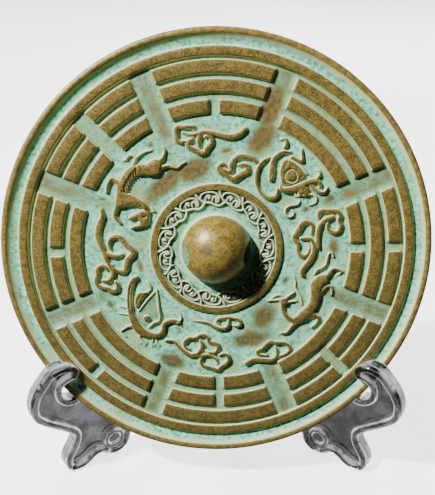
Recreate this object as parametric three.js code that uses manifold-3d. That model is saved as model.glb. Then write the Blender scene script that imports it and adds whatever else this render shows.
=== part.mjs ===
// A cast bronze mirror, its patterned side to the front, leaning on two clear display legs.
// Millimetres, +Z up. The origin is on the floor, under the middle of the whole object.
// The mirror is modelled flat, pattern up, and then leaned back. Its ornament is placed by an angle
// clockwise from the top of the disc and a radius, and heights are counted from the sunk ground.
import * as THREE from 'three';
import * as BufferGeometryUtils from 'three/addons/utils/BufferGeometryUtils.js';
import Module from 'manifold-3d';

const wasm = await Module();
wasm.setup();

// Driving dimensions of the mirror
const discRadius = 75;
const backDepth = 2.2;
const rimHeight = 1.6;
const reliefHeight = 1.0;
const wallDraft = 0.35;
const sharpRidge = 1.65;
const discFacets = 54;
const ornamentTurn = -0.9;
const knobRadius = 12.1;
const knobHeight = 11.4;
const cordHoleWidth = 8.8;
const cordHoleHeight = 6.3;
const scrollRadius = 17.2;
const scrollSwing = 2.1;
const scrollUnits = 15;
const spokeHalfWidth = 4.1;
const brokenGap = 3.8;
const wideBrokenGap = 5.9;
const barRows = [[46.9, 51.0], [53.75, 57.8], [60.0, 64.1]];

// Driving dimensions of the stand
const leanBack = 15;
const discCentreHeight = 86;
const legAzimuth = 34;
const rimContactAngle = 46.5;
const flangeWidth = 7;
const webThickness = 2.4;
const seatClearance = 0.3;
const hubCentre = [16.5, 7.2];
const hubRadius = 6.8;

const sunk = -0.5;
const bronze = new THREE.MeshStandardMaterial({ color: 0x6f5c34, roughness: 0.5, metalness: 0.8 });
const clearPlastic = new THREE.MeshStandardMaterial({
  color: 0xdfe3e4, roughness: 0.08, metalness: 0, transparent: true, opacity: 0.35,
});

const radians = THREE.MathUtils.degToRad;

function solidOf(geometry) {
  const bare = geometry.index ? geometry.clone() : geometry;
  bare.deleteAttribute('normal');
  bare.deleteAttribute('uv');
  const merged = BufferGeometryUtils.mergeVertices(bare, 1e-5);
  const mesh = new wasm.Mesh({
    numProp: 3,
    vertProperties: new Float32Array(merged.attributes.position.array),
    triVerts: new Uint32Array(merged.index.array),
  });
  return new wasm.Manifold(mesh);
}

function geometryOf(solid) {
  const mesh = solid.getMesh();
  const geometry = new THREE.BufferGeometry();
  geometry.setAttribute('position', new THREE.BufferAttribute(new Float32Array(mesh.vertProperties), 3));
  geometry.setIndex(new THREE.BufferAttribute(new Uint32Array(mesh.triVerts), 1));
  return geometry;
}

function joined(solids) {
  let rest = solids;
  while (rest.length > 1) {
    const pairs = [];
    for (let i = 0; i < rest.length; i += 2) pairs.push(i + 1 < rest.length ? rest[i].add(rest[i + 1]) : rest[i]);
    rest = pairs;
  }
  return rest[0];
}

function largest(solid) {
  return solid.decompose().reduce((best, piece) => (piece.volume() > best.volume() ? piece : best));
}

// A point of the ornament, from degrees clockwise from the top and a radius
function onDisc(degrees, radius) {
  const angle = radians(degrees + ornamentTurn);
  return new THREE.Vector2(radius * Math.sin(angle), radius * Math.cos(angle));
}

// A closed body through equal rings of points, each ring counter-clockwise seen from the last
function loft(rings) {
  const count = rings[0].length;
  const positions = rings.flat().flatMap((p) => [p.x, p.y, p.z]);
  const faces = [];
  for (let k = 0; k + 1 < rings.length; k++) {
    for (let i = 0; i < count; i++) {
      const a = k * count + i;
      const b = k * count + (i + 1) % count;
      faces.push(a, b, b + count, a, b + count, a + count);
    }
  }
  return { positions, faces, count, rings: rings.length };
}

function capped(body, triangles) {
  const last = (body.rings - 1) * body.count;
  for (const [a, b, c] of triangles) body.faces.push(a, c, b, last + a, last + b, last + c);
  const geometry = new THREE.BufferGeometry();
  geometry.setAttribute('position', new THREE.Float32BufferAttribute(body.positions, 3));
  geometry.setIndex(body.faces);
  return solidOf(geometry);
}

function latheSolid(profile) {
  const points = profile.map(([radius, height]) => new THREE.Vector2(radius, height));
  return solidOf(new THREE.LatheGeometry(points, discFacets).rotateX(Math.PI / 2));
}

// The turned form of the disc, from the middle of the back, round the rim, to the top of the knob
function discProfile() {
  const back = [[0, -backDepth], [discRadius - 1.2, -backDepth], [discRadius, -backDepth + 1.1]];
  const rim = [[discRadius, rimHeight - 1.0], [discRadius - 0.6, rimHeight - 0.2], [discRadius - 1.5, rimHeight]];
  const cove = [[72.3, rimHeight - 0.7], [70.9, -0.1], [69.2, 0.1]];
  const flatRing = [[68.4, reliefHeight], [65.6, reliefHeight], [65.1, 0]];
  const knobRing = [[23.3, 0], [22.8, 0.9], [20.9, 0.9], [20.4, 0.1], [knobRadius, 0.1]];
  const dome = [];
  for (const degrees of [14, 30, 48, 68]) {
    const angle = radians(degrees);
    dome.push([knobRadius * Math.cos(angle), knobHeight * Math.sin(angle)]);
  }
  return [...back, ...rim, ...cove, ...flatRing, ...knobRing, ...dome, [0, knobHeight]];
}

// The arched hole for the cord, left to right under the crown of the knob
function cordHole() {
  const half = cordHoleWidth / 2;
  const arch = new THREE.Shape();
  arch.moveTo(-half, 0.3);
  arch.lineTo(half, 0.3);
  arch.lineTo(half, cordHoleHeight * 0.5);
  arch.absellipse(0, cordHoleHeight * 0.5, half, cordHoleHeight * 0.5, 0, Math.PI, false);
  const length = 2 * knobRadius + 3;
  const hole = new THREE.ExtrudeGeometry(arch, { depth: length, bevelEnabled: false, curveSegments: 6 });
  hole.translate(0, 0, -length / 2).rotateX(Math.PI / 2).rotateZ(Math.PI / 2);
  return solidOf(hole);
}

// One bar of a trigram: two arcs, ends parallel to the spoke or to the gap, and drafted walls
function bar(middle, inner, outer, startOffset, endOffset) {
  const edge = (radius, grow) => {
    const angleAt = ([line, offset]) => line + THREE.MathUtils.radToDeg(Math.asin(offset / radius));
    const start = angleAt([startOffset[0], startOffset[1] - grow]);
    const end = angleAt([endOffset[0], endOffset[1] + grow]);
    const steps = Math.max(2, Math.round((end - start) / 9));
    return { start, end, steps };
  };
  const ring = (grow, height) => {
    const far = edge(outer + grow, grow);
    const near = edge(inner - grow, grow);
    const steps = edge(outer, 0).steps;
    const points = [];
    for (let i = 0; i <= steps; i++) points.push([far.end + (far.start - far.end) * i / steps, outer + grow]);
    for (let i = 0; i <= steps; i++) points.push([near.start + (near.end - near.start) * i / steps, inner - grow]);
    return points.map(([angle, radius]) => {
      const p = onDisc(middle + angle, radius);
      return new THREE.Vector3(p.x, p.y, height);
    });
  };
  const body = loft([ring(wallDraft, sunk), ring(0, reliefHeight)]);
  const triangles = [];
  const last = body.count - 1;
  for (let i = 0; i + 1 < body.count / 2; i++) triangles.push([i, i + 1, last - i], [i + 1, last - i - 1, last - i]);
  return capped(body, triangles);
}

// Eight trigrams. Each row is s for an unbroken bar and b for one that is broken in the middle
function trigrams() {
  const rows = ['bss', 'sss', 'bsb', 'sbb', 'bbs', 'ssb', 'sbs', 'bbb'];
  const bars = [];
  rows.forEach((kinds, index) => {
    const middle = index * 45;
    const gap = (kinds === 'bbb' ? wideBrokenGap : brokenGap) / 2;
    barRows.forEach(([inner, outer], row) => {
      const start = [-22.5, spokeHalfWidth];
      const end = [22.5, -spokeHalfWidth];
      if (kinds[row] === 's') {
        bars.push(bar(middle, inner, outer, start, end));
      } else {
        bars.push(bar(middle, inner, outer, start, [0, -gap]));
        bars.push(bar(middle, inner, outer, [0, gap], end));
      }
    });
  });
  return bars;
}

// A raised line of the ornament through points of [degrees, radius], thinner at its ends
function ridge(points, width, height = 0.9, detail = 0.64) {
  const curve = new THREE.SplineCurve(points.map(([degrees, radius]) => onDisc(degrees, radius)));
  const steps = Math.max(2, Math.round((points.length - 1) * detail));
  const sections = [];
  for (let i = 0; i <= steps; i++) {
    const at = curve.getPoint(i / steps);
    const along = curve.getTangent(i / steps);
    const before = curve.getTangent(Math.max(0, i / steps - 0.02));
    const after = curve.getTangent(Math.min(1, i / steps + 0.02));
    const turn = before.cross(after) / curve.getLength() / 0.04;
    const taper = i === 0 || i === steps ? 0.55 : 1;
    const side = new THREE.Vector2(-along.y, along.x);
    const across = (offset, level) => {
      const bendRoom = offset * turn > 0 ? 0.8 / Math.abs(turn) : Infinity;
      const reach = Math.sign(offset) * Math.min(Math.abs(offset), bendRoom);
      return new THREE.Vector3(at.x + side.x * reach, at.y + side.y * reach, level);
    };
    const top = width / 2 * taper - 0.15;
    const foot = width / 2 * taper + 0.2;
    const crown = width < sharpRidge ? [across(0, height)] : [across(top, height), across(-top, height)];
    sections.push([across(foot, sunk), ...crown, across(-foot, sunk)]);
  }
  return capped(loft(sections), width < sharpRidge ? [[0, 1, 2]] : [[0, 1, 2], [0, 2, 3]]);
}

// A raised rounded mass: an ellipse at [degrees, radius], its long axis turned from the tangent
function mound([degrees, radius], long, short, turned = 0, height = 1.1, sides = 12) {
  const centre = onDisc(degrees, radius);
  const heading = -radians(degrees + ornamentTurn) + radians(turned);
  const ring = (share, level) => Array.from({ length: sides }, (unused, i) => {
    const angle = 2 * Math.PI * i / sides;
    const x = long * share * Math.cos(angle);
    const y = short * share * Math.sin(angle);
    return new THREE.Vector3(
      centre.x + x * Math.cos(heading) - y * Math.sin(heading),
      centre.y + x * Math.sin(heading) + y * Math.cos(heading), level);
  });
  const triangles = Array.from({ length: sides - 2 }, (unused, i) => [0, i + 1, i + 2]);
  return capped(loft([ring(1.06, sunk), ring(0.95, height * 0.6), ring(0.6, height)]), triangles);
}

// The tortoise with the snake wound round it
function tortoiseAndSnake() {
  return [
    mound([45.4, 36.3], 5.6, 3.9, 0, 0.8, 14),
    mound([45.6, 36.2], 2.2, 1.5, 0, 1.2, 10),
    mound([57.2, 36.2], 2.3, 1.9, -20, 1.0, 10),
    ridge([[30.5, 36.5], [27.8, 33], [29.5, 29], [34, 26], [40, 24.9], [45.5, 25.3], [48.6, 27.6], [45.2, 29.7]], 1.7),
    ridge([[38.3, 30.8], [35, 34], [33, 37], [34, 39.6], [37.3, 41.8]], 1.9),
    ridge([[45, 31.3], [49, 31.1], [51.8, 33.2], [53.2, 36.5], [54.4, 39.8], [57.2, 42], [59.6, 41.7]], 1.8),
    ridge([[37.5, 38.7], [41, 39.8], [46, 40.2], [51.5, 39.6]], 1.1, 1.0),
    ridge([[60.5, 33.2], [61.4, 31.5], [60.1, 29.3], [61, 27.7], [65, 27], [66.8, 28.2], [64.2, 29.5]], 1.0, 0.7),
    ridge([[57, 39.5], [60.8, 40.2], [62.4, 42], [61, 43.5]], 1.3),
    ridge([[60.2, 36.6], [61.6, 38.4], [65, 38], [65, 35.6]], 0.9, 0.6),
    ridge([[34.2, 42], [33.2, 44.5], [31, 43.8]], 1.3),
    ridge([[40.5, 41], [44.4, 42.4], [41, 45]], 1.3),
    ridge([[55, 42.6], [54.8, 43.9], [52.4, 44.1]], 1.2),
  ];
}

function dragon() {
  return [
    ridge([[92.8, 40.6], [94.5, 39.2], [98.5, 39.2], [101.5, 37.4], [104.5, 36], [108, 36.2]], 1.1, 0.8),
    ridge([[107, 38.6], [111, 37.6], [116, 38.2], [121, 39.3], [127, 39.6]], 3.4, 1.1),
    ridge([[127, 39.6], [131, 39.4], [134.8, 38], [136, 35.2], [134.4, 32.3], [131.5, 30.9], [128.5, 30.5]], 1.9, 1.0),
    mound([128.6, 30.2], 1.7, 1.2, 0, 1.2, 8),
    ridge([[128.5, 30.3], [124.5, 31.2], [120.6, 31.3]], 1.1, 0.9),
    ridge([[129, 31.3], [126.6, 33.2], [124.4, 33.6]], 0.9, 0.8),
    ridge([[127, 28.6], [129.5, 26.9], [134, 26.5], [139, 25.4]], 1.0, 0.8),
    ridge([[111.4, 29.2], [117, 31], [119.5, 33.6], [124.6, 36.2]], 0.8, 0.6),
    ridge([[107.6, 38.4], [106.8, 41.2], [103.5, 41.6], [101.4, 42], [101.2, 44.8]], 1.5),
    ridge([[114.4, 40.2], [110.4, 42], [110.6, 43.3], [113, 43.9]], 1.2),
    ridge([[129.6, 40.2], [127, 42.2], [126.2, 43.6], [128.6, 44.5], [131.8, 44.1]], 1.4),
    ridge([[134.4, 39.4], [137.5, 40], [141, 39.9], [143.8, 38.2]], 1.3),
  ];
}

function phoenix() {
  return [
    ridge([[208, 30.3], [211.5, 31.2], [214.3, 32.8], [213, 35.2], [213.2, 37.6], [216.5, 39.4], [221, 40.1]], 2.1, 1.0),
    ridge([[219, 39.9], [225, 39.9], [231, 38.8], [237, 37.1], [243.5, 34.8], [248.5, 32.2], [251.2, 30.3]], 2.4, 1.0),
    ridge([[207.4, 29.1], [210.6, 26.7]], 0.9, 0.8),
    ridge([[208.4, 33], [205, 32.2]], 0.8, 0.6),
    ridge([[215, 30.2], [218, 29.9]], 0.8, 0.6),
    ridge([[220.8, 37], [221.3, 35.3], [219.2, 33], [221, 31.1], [227, 28.6], [232, 27], [236.2, 26]], 1.0, 0.8),
    ridge([[236.2, 26], [234.8, 31], [232, 35.6]], 0.9, 0.7),
    mound([225.3, 35.2], 1.6, 1.3, 0, 0.9, 10),
    mound([237.6, 32], 3.4, 1.7, 62, 0.9, 12),
    ridge([[237, 28.3], [240, 27.4], [245.2, 27.2]], 0.9, 0.7),
    ridge([[234, 38.9], [236.6, 41.4]], 0.9, 0.7),
    ridge([[237.2, 38], [240.4, 40.5]], 0.9, 0.7),
    ridge([[240, 37], [243, 37.2], [244.2, 38.5]], 0.9, 0.7),
    ridge([[227.6, 41], [229.4, 43], [230, 45.2], [226.6, 45.8]], 1.0, 0.7),
    ridge([[211, 40.8], [214, 41.8], [216, 40.4]], 0.8, 0.6),
    ridge([[216, 43.4], [218.4, 42.8], [221, 42.5]], 0.8, 0.6),
  ];
}

function tiger() {
  return [
    ridge([[284.3, 30], [286, 27.5], [289, 25.9], [293, 25.3], [298, 24.7]], 1.3, 1.0),
    mound([294.2, 27.6], 2.8, 1.8, 20, 1.1, 10),
    ridge([[300, 27], [303.4, 28.8]], 1.3, 0.9),
    ridge([[291.6, 30.2], [289.4, 31.9]], 1.0, 0.7),
    ridge([[301.3, 30], [300, 34], [299.6, 38]], 4.8, 1.1),
    ridge([[298.6, 31.6], [295.8, 34.5], [292, 36.4], [289, 36.8], [287.2, 35.2], [285.4, 34.8]], 1.4, 0.9),
    ridge([[300, 37.6], [305, 38.8], [311, 39.1], [316.5, 37.8], [321, 35.8], [326.6, 35.3]], 3.6, 1.1),
    ridge([[325, 33.9], [330.5, 33.1], [334.2, 31.3], [337, 31.4], [341.3, 32.3]], 1.1, 0.8),
    ridge([[327.4, 35.4], [331.5, 36.6], [334, 39.2]], 1.2, 0.8),
    ridge([[327.2, 40.7], [322, 41.5], [317, 41.6]], 1.1, 0.7),
    ridge([[320.8, 42.4], [318, 44], [315.4, 43.8]], 1.0, 0.7),
    ridge([[304.4, 39.8], [304.2, 42], [302, 43.6], [298.3, 42.6]], 1.5, 0.9),
  ];
}

// Seven curled clouds between the animals
function clouds() {
  return [
    ridge([[7, 29.3], [4, 29.4], [2.4, 28], [5, 26.7], [10, 25.8], [14.5, 25.2], [18, 27.2], [22, 29.1], [20.6, 30.8], [16, 30.4]], 1.8),
    ridge([[11.4, 28], [11.2, 30.4], [13.6, 32.8], [18, 33.6], [25.4, 33.5]], 1.9),
    ridge([[-11.4, 38.4], [-14, 37.3], [-11, 35.2], [-7, 33.7], [-4, 35], [-1.4, 37.6], [-3.6, 39.2]], 1.7),
    ridge([[-8.2, 36.4], [-7.4, 39.6]], 1.7),
    ridge([[-15, 38.6], [-18.4, 39.6], [-17.6, 42], [-16, 43.8], [-12, 43.2], [-9.4, 42.4]], 1.6),
    ridge([[-14.6, 42], [-10, 40.2], [-4, 40.3], [2, 39.5], [8, 39.2], [12, 40.6], [14, 42.4]], 1.9),
    ridge([[81, 33.6], [77, 34.1], [73.8, 32], [75.6, 30.1], [79, 28.5], [83, 27.5], [86.5, 28.3], [91, 28.3], [95, 29.6],
      [95.4, 31.2], [91, 32.4], [87.3, 31.9]], 1.7),
    ridge([[84, 29.9], [83.9, 32.2], [87, 33.9], [92, 34], [98, 32.8], [103.5, 31.2], [107.8, 31.4]], 1.8),
    ridge([[75.3, 41.6], [76, 38.6], [79.4, 36.3], [84, 35.5], [90, 35.4]], 1.8),
    ridge([[74.2, 37.2], [70.6, 38], [71.8, 41], [73.4, 44], [77.4, 43.7], [80.6, 43.7], [82.8, 42], [80.8, 39.7], [77.6, 39.5]], 1.5),
    ridge([[156, 42.6], [159.6, 41.2], [157.6, 40], [151.5, 39], [149, 40.3], [145.4, 42], [145, 44.6], [150, 45.5]], 1.5),
    ridge([[150.3, 41.5], [151.2, 44], [154.6, 45], [159, 43.8], [162.4, 42.6], [166.2, 43]], 1.8),
    ridge([[168.6, 28.4], [164.4, 28.9], [163.2, 27.2], [167, 25.8], [172, 25.1], [177.4, 25.3], [180.4, 26.2]], 1.3, 0.8),
    ridge([[171.4, 26.2], [172.4, 28.2], [176.6, 29], [182, 28.3], [188, 26.9], [197.4, 27]], 1.5, 0.8),
    ridge([[187, 37.2], [183.6, 37.8], [180, 36.3], [181.6, 34.4], [185.6, 33.6], [187.4, 31.9], [191.6, 32], [194.4, 33.5],
      [198, 34], [199, 36], [195.4, 37.8]], 1.5),
    ridge([[190.6, 34], [189.3, 36], [191, 38.6], [195, 39.7], [200, 38.4], [205, 36.9], [209, 37.7]], 1.6),
    ridge([[179.4, 38.7], [175.6, 38.9], [175.4, 41.2], [178.8, 43.2], [181.2, 44], [184.6, 43.3], [188, 41.8], [188.2, 39.8]], 1.6),
    ridge([[180.4, 42], [181.8, 39.8], [185, 38.9], [190.4, 39.3]], 1.3),
    ridge([[262, 36.6], [258, 35.4], [257.6, 32.9], [263, 31.4], [266.8, 29.3], [270.6, 29.4], [274, 31.6], [278, 33.9],
      [277, 36.8], [271.6, 37.2]], 2.0),
    ridge([[267.3, 33.2], [267.2, 36], [268.6, 38.6]], 1.6),
    ridge([[254.8, 41], [255, 38.8], [258.6, 37.3], [264, 38.2], [271, 39.5], [277.6, 41.2], [284, 41.3], [290, 42]], 2.0),
    ridge([[252.4, 37.3], [248.4, 38], [250, 40.4], [252.6, 43], [256, 43.6], [261, 42], [262, 40], [260.3, 39.2]], 1.8),
  ];
}

// One strand that waves in and out and goes twice round the knob, so that it crosses itself
function scrollBand() {
  const period = 720 / scrollUnits;
  const strands = [];
  for (let unit = 0; unit < scrollUnits; unit++) {
    const points = [];
    for (let i = 0; i <= 5; i++) {
      const share = i / 5;
      const swing = scrollSwing * Math.cos(2 * Math.PI * share);
      points.push([4 + period * (unit + share), scrollRadius + swing]);
    }
    strands.push(ridge(points, 1.2, 0.6, 1));
  }
  return strands;
}

function mirrorSolid() {
  const figures = [tortoiseAndSnake(), dragon(), phoenix(), tiger(), clouds()].flat();
  const relief = joined([...trigrams(), ...figures, ...scrollBand()]);
  return latheSolid(discProfile()).subtract(cordHole()).add(relief);
}

// The room that the mirror takes out of the legs
function mirrorRoom() {
  const clear = seatClearance;
  return latheSolid([
    [0, -backDepth - clear], [discRadius + clear, -backDepth - clear], [discRadius + clear, rimHeight],
    [discRadius - 1.4, rimHeight + clear + 0.1], [72.0, rimHeight], [71.0, 0.7], [69.9, 0.7], [69.3, reliefHeight + clear],
    [66, reliefHeight + clear], [60, rimHeight + 4], [0, rimHeight + 4],
  ]);
}

// Outline of a leg in its own upright plane: across the leg towards the back, and height above the floor
function legOutline() {
  const outline = new THREE.Shape();
  outline.moveTo(3.3, 41.0);
  outline.splineThru([[4.6, 44.2], [0.6, 47.2], [-5.2, 46.8], [-9.6, 42.9], [-12.9, 38.6], [-14.3, 34.0], [-13.9, 29.4],
    [-11.2, 26.0], [-5.2, 21.2], [-0.6, 17.4]].map(([s, z]) => new THREE.Vector2(s, z)));
  outline.splineThru([[0.6, 15.0], [-0.6, 11.6], [-3.4, 7.2], [-4.0, 3.4], [-2.6, 0.8], [-0.6, 0]]
    .map(([s, z]) => new THREE.Vector2(s, z)));
  outline.lineTo(2.8, 0);
  outline.splineThru([[5.6, 1.2], [8.4, 3.2], [11.0, 3.4]].map(([s, z]) => new THREE.Vector2(s, z)));
  outline.absarc(hubCentre[0], hubCentre[1], hubRadius, radians(215), radians(360), false);
  outline.splineThru([[25.0, 11.6], [31, 14.6], [39, 13.8], [46, 8.8], [50.4, 3.0], [53.6, 0]]
    .map(([s, z]) => new THREE.Vector2(s, z)));
  outline.lineTo(60.2, 0);
  outline.splineThru([[61.8, 1.4], [61.6, 4.6], [57.4, 11.0], [50, 19.6], [41, 27.6], [34, 36], [30.8, 46], [31.0, 58],
    [32.6, 68], [31.4, 73.2], [27.4, 75.4], [23.6, 73.0]].map(([s, z]) => new THREE.Vector2(s, z)));
  outline.lineTo(5.4, 35.2);
  outline.splineThru([[3.6, 33.2], [0.8, 32.4], [-2.0, 34.4], [-2.6, 37.6], [-1.2, 40.0]]
    .map(([s, z]) => new THREE.Vector2(s, z)));
  return outline;
}

// The hollow in each face of a leg, which leaves a thin web inside a thick flange
function legPocket() {
  const pocket = new THREE.Shape();
  pocket.moveTo(-6.0, 40.6);
  pocket.splineThru([[-9.6, 37.0], [-11.2, 33.2], [-10.8, 30.2], [-8.6, 27.6], [-3.4, 23.4], [1.4, 19.8], [3.4, 15.6],
    [2.2, 11.0], [-0.4, 6.4], [-0.2, 3.6], [2.6, 3.2], [6.2, 6.0], [8.2, 9.8]].map(([s, z]) => new THREE.Vector2(s, z)));
  pocket.splineThru([[11.4, 14.0], [16.4, 16.0], [22.6, 14.8], [30.4, 17.8], [40, 17.4], [48, 12.4], [54.4, 4.4],
    [57.2, 4.2], [55.2, 8.6], [47, 18.0], [38, 25.4], [31, 34.4], [27.6, 45], [27.8, 57], [29, 66], [27.6, 70.2]]
    .map(([s, z]) => new THREE.Vector2(s, z)));
  pocket.lineTo(9.6, 35.6);
  pocket.splineThru([[6.8, 31.6], [1.2, 29.2], [-4.4, 31.4], [-5.6, 36.0]].map(([s, z]) => new THREE.Vector2(s, z)));
  return pocket;
}

function extruded(shape, depth, middle, curveSegments) {
  const geometry = new THREE.ExtrudeGeometry(shape, { depth, bevelEnabled: false, curveSegments });
  return solidOf(geometry.translate(0, 0, middle - depth / 2));
}

// The hub has a round hollow in each face, with a ring standing in it
function hubHollow(depth, middle) {
  const hollow = new THREE.Shape();
  hollow.absarc(hubCentre[0], hubCentre[1], hubRadius - 2.2, 0, 2 * Math.PI, false);
  return extruded(hollow, depth, middle, 4);
}

function hubRing() {
  const ring = new THREE.Shape();
  ring.absarc(hubCentre[0], hubCentre[1], hubRadius - 3.6, 0, 2 * Math.PI, false);
  const eye = new THREE.Path();
  eye.absarc(hubCentre[0], hubCentre[1], hubRadius - 5.2, 0, 2 * Math.PI, true);
  ring.holes.push(eye);
  return extruded(ring, flangeWidth - 0.8, 0, 4);
}

const mirrorPlace = new THREE.Matrix4()
  .makeTranslation(0, 0, discCentreHeight)
  .multiply(new THREE.Matrix4().makeRotationX(radians(90 - leanBack)));

function legPlace() {
  const contact = radians(rimContactAngle);
  const azimuth = radians(legAzimuth);
  const along = new THREE.Vector3(Math.cos(azimuth), Math.sin(azimuth), 0);
  const up = new THREE.Vector3(0, 0, 1);
  const place = new THREE.Matrix4().makeBasis(along, up, along.clone().cross(up));
  const x = -discRadius * Math.sin(contact);
  const y = -discRadius * Math.cos(contact) * Math.sin(radians(leanBack));
  return place.setPosition(x, y, 0);
}

function legSolid() {
  const pocketDepth = (flangeWidth - webThickness) / 2;
  const pocketMiddle = (webThickness + pocketDepth) / 2 + 0.5;
  let leg = extruded(legOutline(), flangeWidth, 0, 2);
  for (const middle of [pocketMiddle, -pocketMiddle]) {
    leg = leg.subtract(extruded(legPocket(), pocketDepth + 1, middle, 1));
    leg = leg.subtract(hubHollow(pocketDepth + 1, middle));
  }
  leg = leg.add(hubRing());
  const placed = solidOf(geometryOf(leg).applyMatrix4(legPlace()));
  const room = solidOf(geometryOf(mirrorRoom()).applyMatrix4(mirrorPlace));
  return largest(placed.subtract(room));
}

// The same leg for the other side, with its faces turned out again
function mirroredGeometry(geometry) {
  const other = geometry.clone().applyMatrix4(new THREE.Matrix4().makeScale(-1, 1, 1));
  const order = other.index.array;
  for (let i = 0; i < order.length; i += 3) [order[i], order[i + 1]] = [order[i + 1], order[i]];
  return other;
}

function named(geometry, material, name) {
  const mesh = new THREE.Mesh(geometry, material);
  mesh.name = name;
  return mesh;
}

const part = new THREE.Group();
const mirror = named(geometryOf(mirrorSolid()), bronze, 'mirror');
mirror.applyMatrix4(mirrorPlace);
const legGeometry = geometryOf(legSolid());
part.add(mirror);
part.add(named(legGeometry, clearPlastic, 'display_leg_left'));
part.add(named(mirroredGeometry(legGeometry), clearPlastic, 'display_leg_right'));

const reach = new THREE.Box3().setFromObject(part, true);
part.position.y = -(reach.min.y + reach.max.y) / 2;

export default part;
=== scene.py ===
# An old style bronze mirror, pattern side out, leaning on two clear moulded display legs.
from math import asin, cos, degrees, pi, radians, sin

import bmesh
import bpy
import numpy as np
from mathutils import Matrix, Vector


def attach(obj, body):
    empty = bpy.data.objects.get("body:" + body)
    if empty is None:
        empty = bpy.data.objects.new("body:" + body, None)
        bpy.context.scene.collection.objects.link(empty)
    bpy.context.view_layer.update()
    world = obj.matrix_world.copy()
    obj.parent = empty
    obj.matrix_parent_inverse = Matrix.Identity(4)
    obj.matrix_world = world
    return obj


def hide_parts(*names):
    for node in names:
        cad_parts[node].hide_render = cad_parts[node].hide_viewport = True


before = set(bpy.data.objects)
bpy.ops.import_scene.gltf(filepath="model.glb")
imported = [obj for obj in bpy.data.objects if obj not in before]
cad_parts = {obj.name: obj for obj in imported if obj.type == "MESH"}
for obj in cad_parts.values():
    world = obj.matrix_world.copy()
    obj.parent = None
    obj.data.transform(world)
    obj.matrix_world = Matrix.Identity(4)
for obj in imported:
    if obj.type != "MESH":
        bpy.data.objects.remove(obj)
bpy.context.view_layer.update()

# The view: a camera a quarter of a metre in front of the mirror, looking a little down at it.
# It is placed from the mirror's own plane, which leans back from the upright.
LEAN = radians(15)
VIEW_ABOVE_NORMAL = radians(11.2)
VIEW_DISTANCE = 0.2621
LENS_PER_LONG_SIDE = 54.6
DISC_CENTRE = (0, 0.00004, 0.086)
FRAME_LONG_SIDE = 495
AIM_SHIFT = (1.2 / FRAME_LONG_SIDE, 1.4 / FRAME_LONG_SIDE)

disc_centre = Vector(DISC_CENTRE)

view_height = LEAN + VIEW_ABOVE_NORMAL
camera_data = bpy.data.cameras.new("camera")
camera_data.lens = LENS_PER_LONG_SIDE
camera_data.sensor_width = 36
camera_data.shift_x, camera_data.shift_y = AIM_SHIFT
camera_data.clip_start = 0.01
camera = bpy.data.objects.new("camera", camera_data)
camera.location = disc_centre + VIEW_DISTANCE * Vector((0, -cos(view_height), sin(view_height)))
camera.rotation_euler = (pi / 2 - view_height, 0, 0)
bpy.context.collection.objects.link(camera)
bpy.context.scene.camera = camera

# The setting: a pale table top in a pale room. The key lamp stands at the upper left, low over the
# mirror's plane, so that the relief throws short shadows. One lamp behind lights the clear legs, and a
# faint one in front gives a glint. The room's own light is kept off the bronze, so its shadows stay deep.
KEY_CLOCK = radians(317)
KEY_ABOVE_PLANE = radians(29)
BACK_LAMP_WAY = Vector((0.25, 0.85, 0.46))
FRONT_LAMP_WAY = Vector((0.5, -0.8, 0.35))
ROOM_LIGHT = 0.32
FLOOR_GLOW = 2.6
FLOOR_HALF = 2.5

up_the_disc = Vector((0, sin(LEAN), cos(LEAN)))
out_of_disc = Vector((0, -cos(LEAN), sin(LEAN)))
right_of_disc = Vector((1, 0, 0))
key_in_plane = right_of_disc * sin(KEY_CLOCK) + up_the_disc * cos(KEY_CLOCK)
key_way = key_in_plane * cos(KEY_ABOVE_PLANE) + out_of_disc * sin(KEY_ABOVE_PLANE)


def add_lamp(name, way, distance, size, power):
    """A square lamp that lies from the mirror along the given way and faces it."""
    lamp_data = bpy.data.lights.new(name, "AREA")
    lamp_data.size = size
    lamp_data.energy = power
    lamp = bpy.data.objects.new(name, lamp_data)
    lamp.location = disc_centre + way * distance
    lamp.rotation_euler = way.to_track_quat("Z", "Y").to_euler()
    bpy.context.collection.objects.link(lamp)


add_lamp("key_lamp", key_way, distance=1.3, size=0.09, power=44)
add_lamp("back_lamp", BACK_LAMP_WAY, distance=1.1, size=0.4, power=9)
add_lamp("front_lamp", FRONT_LAMP_WAY, distance=1.2, size=0.12, power=0.08)

world = bpy.data.worlds.new("room")
world.use_nodes = True
room = world.node_tree.nodes["Background"]
room.inputs["Color"].default_value = (1.0, 1.0, 1.0, 1)
room.inputs["Strength"].default_value = ROOM_LIGHT
bpy.context.scene.world = world
world.cycles_visibility.diffuse = False


def new_object(name, vertices, faces):
    """A mesh object at the origin, from points in metres and lists of corner numbers."""
    mesh = bpy.data.meshes.new(name)
    mesh.from_pydata([tuple(v) for v in vertices], [], faces)
    mesh.validate()
    made = bpy.data.objects.new(name, mesh)
    bpy.context.collection.objects.link(made)
    return made


floor_corners = [(-FLOOR_HALF, -FLOOR_HALF, 0), (FLOOR_HALF, -FLOOR_HALF, 0),
                 (FLOOR_HALF, FLOOR_HALF, 0), (-FLOOR_HALF, FLOOR_HALF, 0)]
floor = new_object("floor", floor_corners, [(0, 1, 2, 3)])
floor_paint = bpy.data.materials.new("pale_floor")
floor_paint.use_nodes = True
paint = floor_paint.node_tree.nodes["Principled BSDF"]
paint.inputs["Base Color"].default_value = (0.9, 0.9, 0.9, 1)
paint.inputs["Roughness"].default_value = 0.9
paint.inputs["Emission Color"].default_value = (1, 1, 1, 1)
paint.inputs["Emission Strength"].default_value = FLOOR_GLOW
floor.data.materials.append(floor_paint)
floor.visible_diffuse = False
floor.visible_glossy = False

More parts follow.
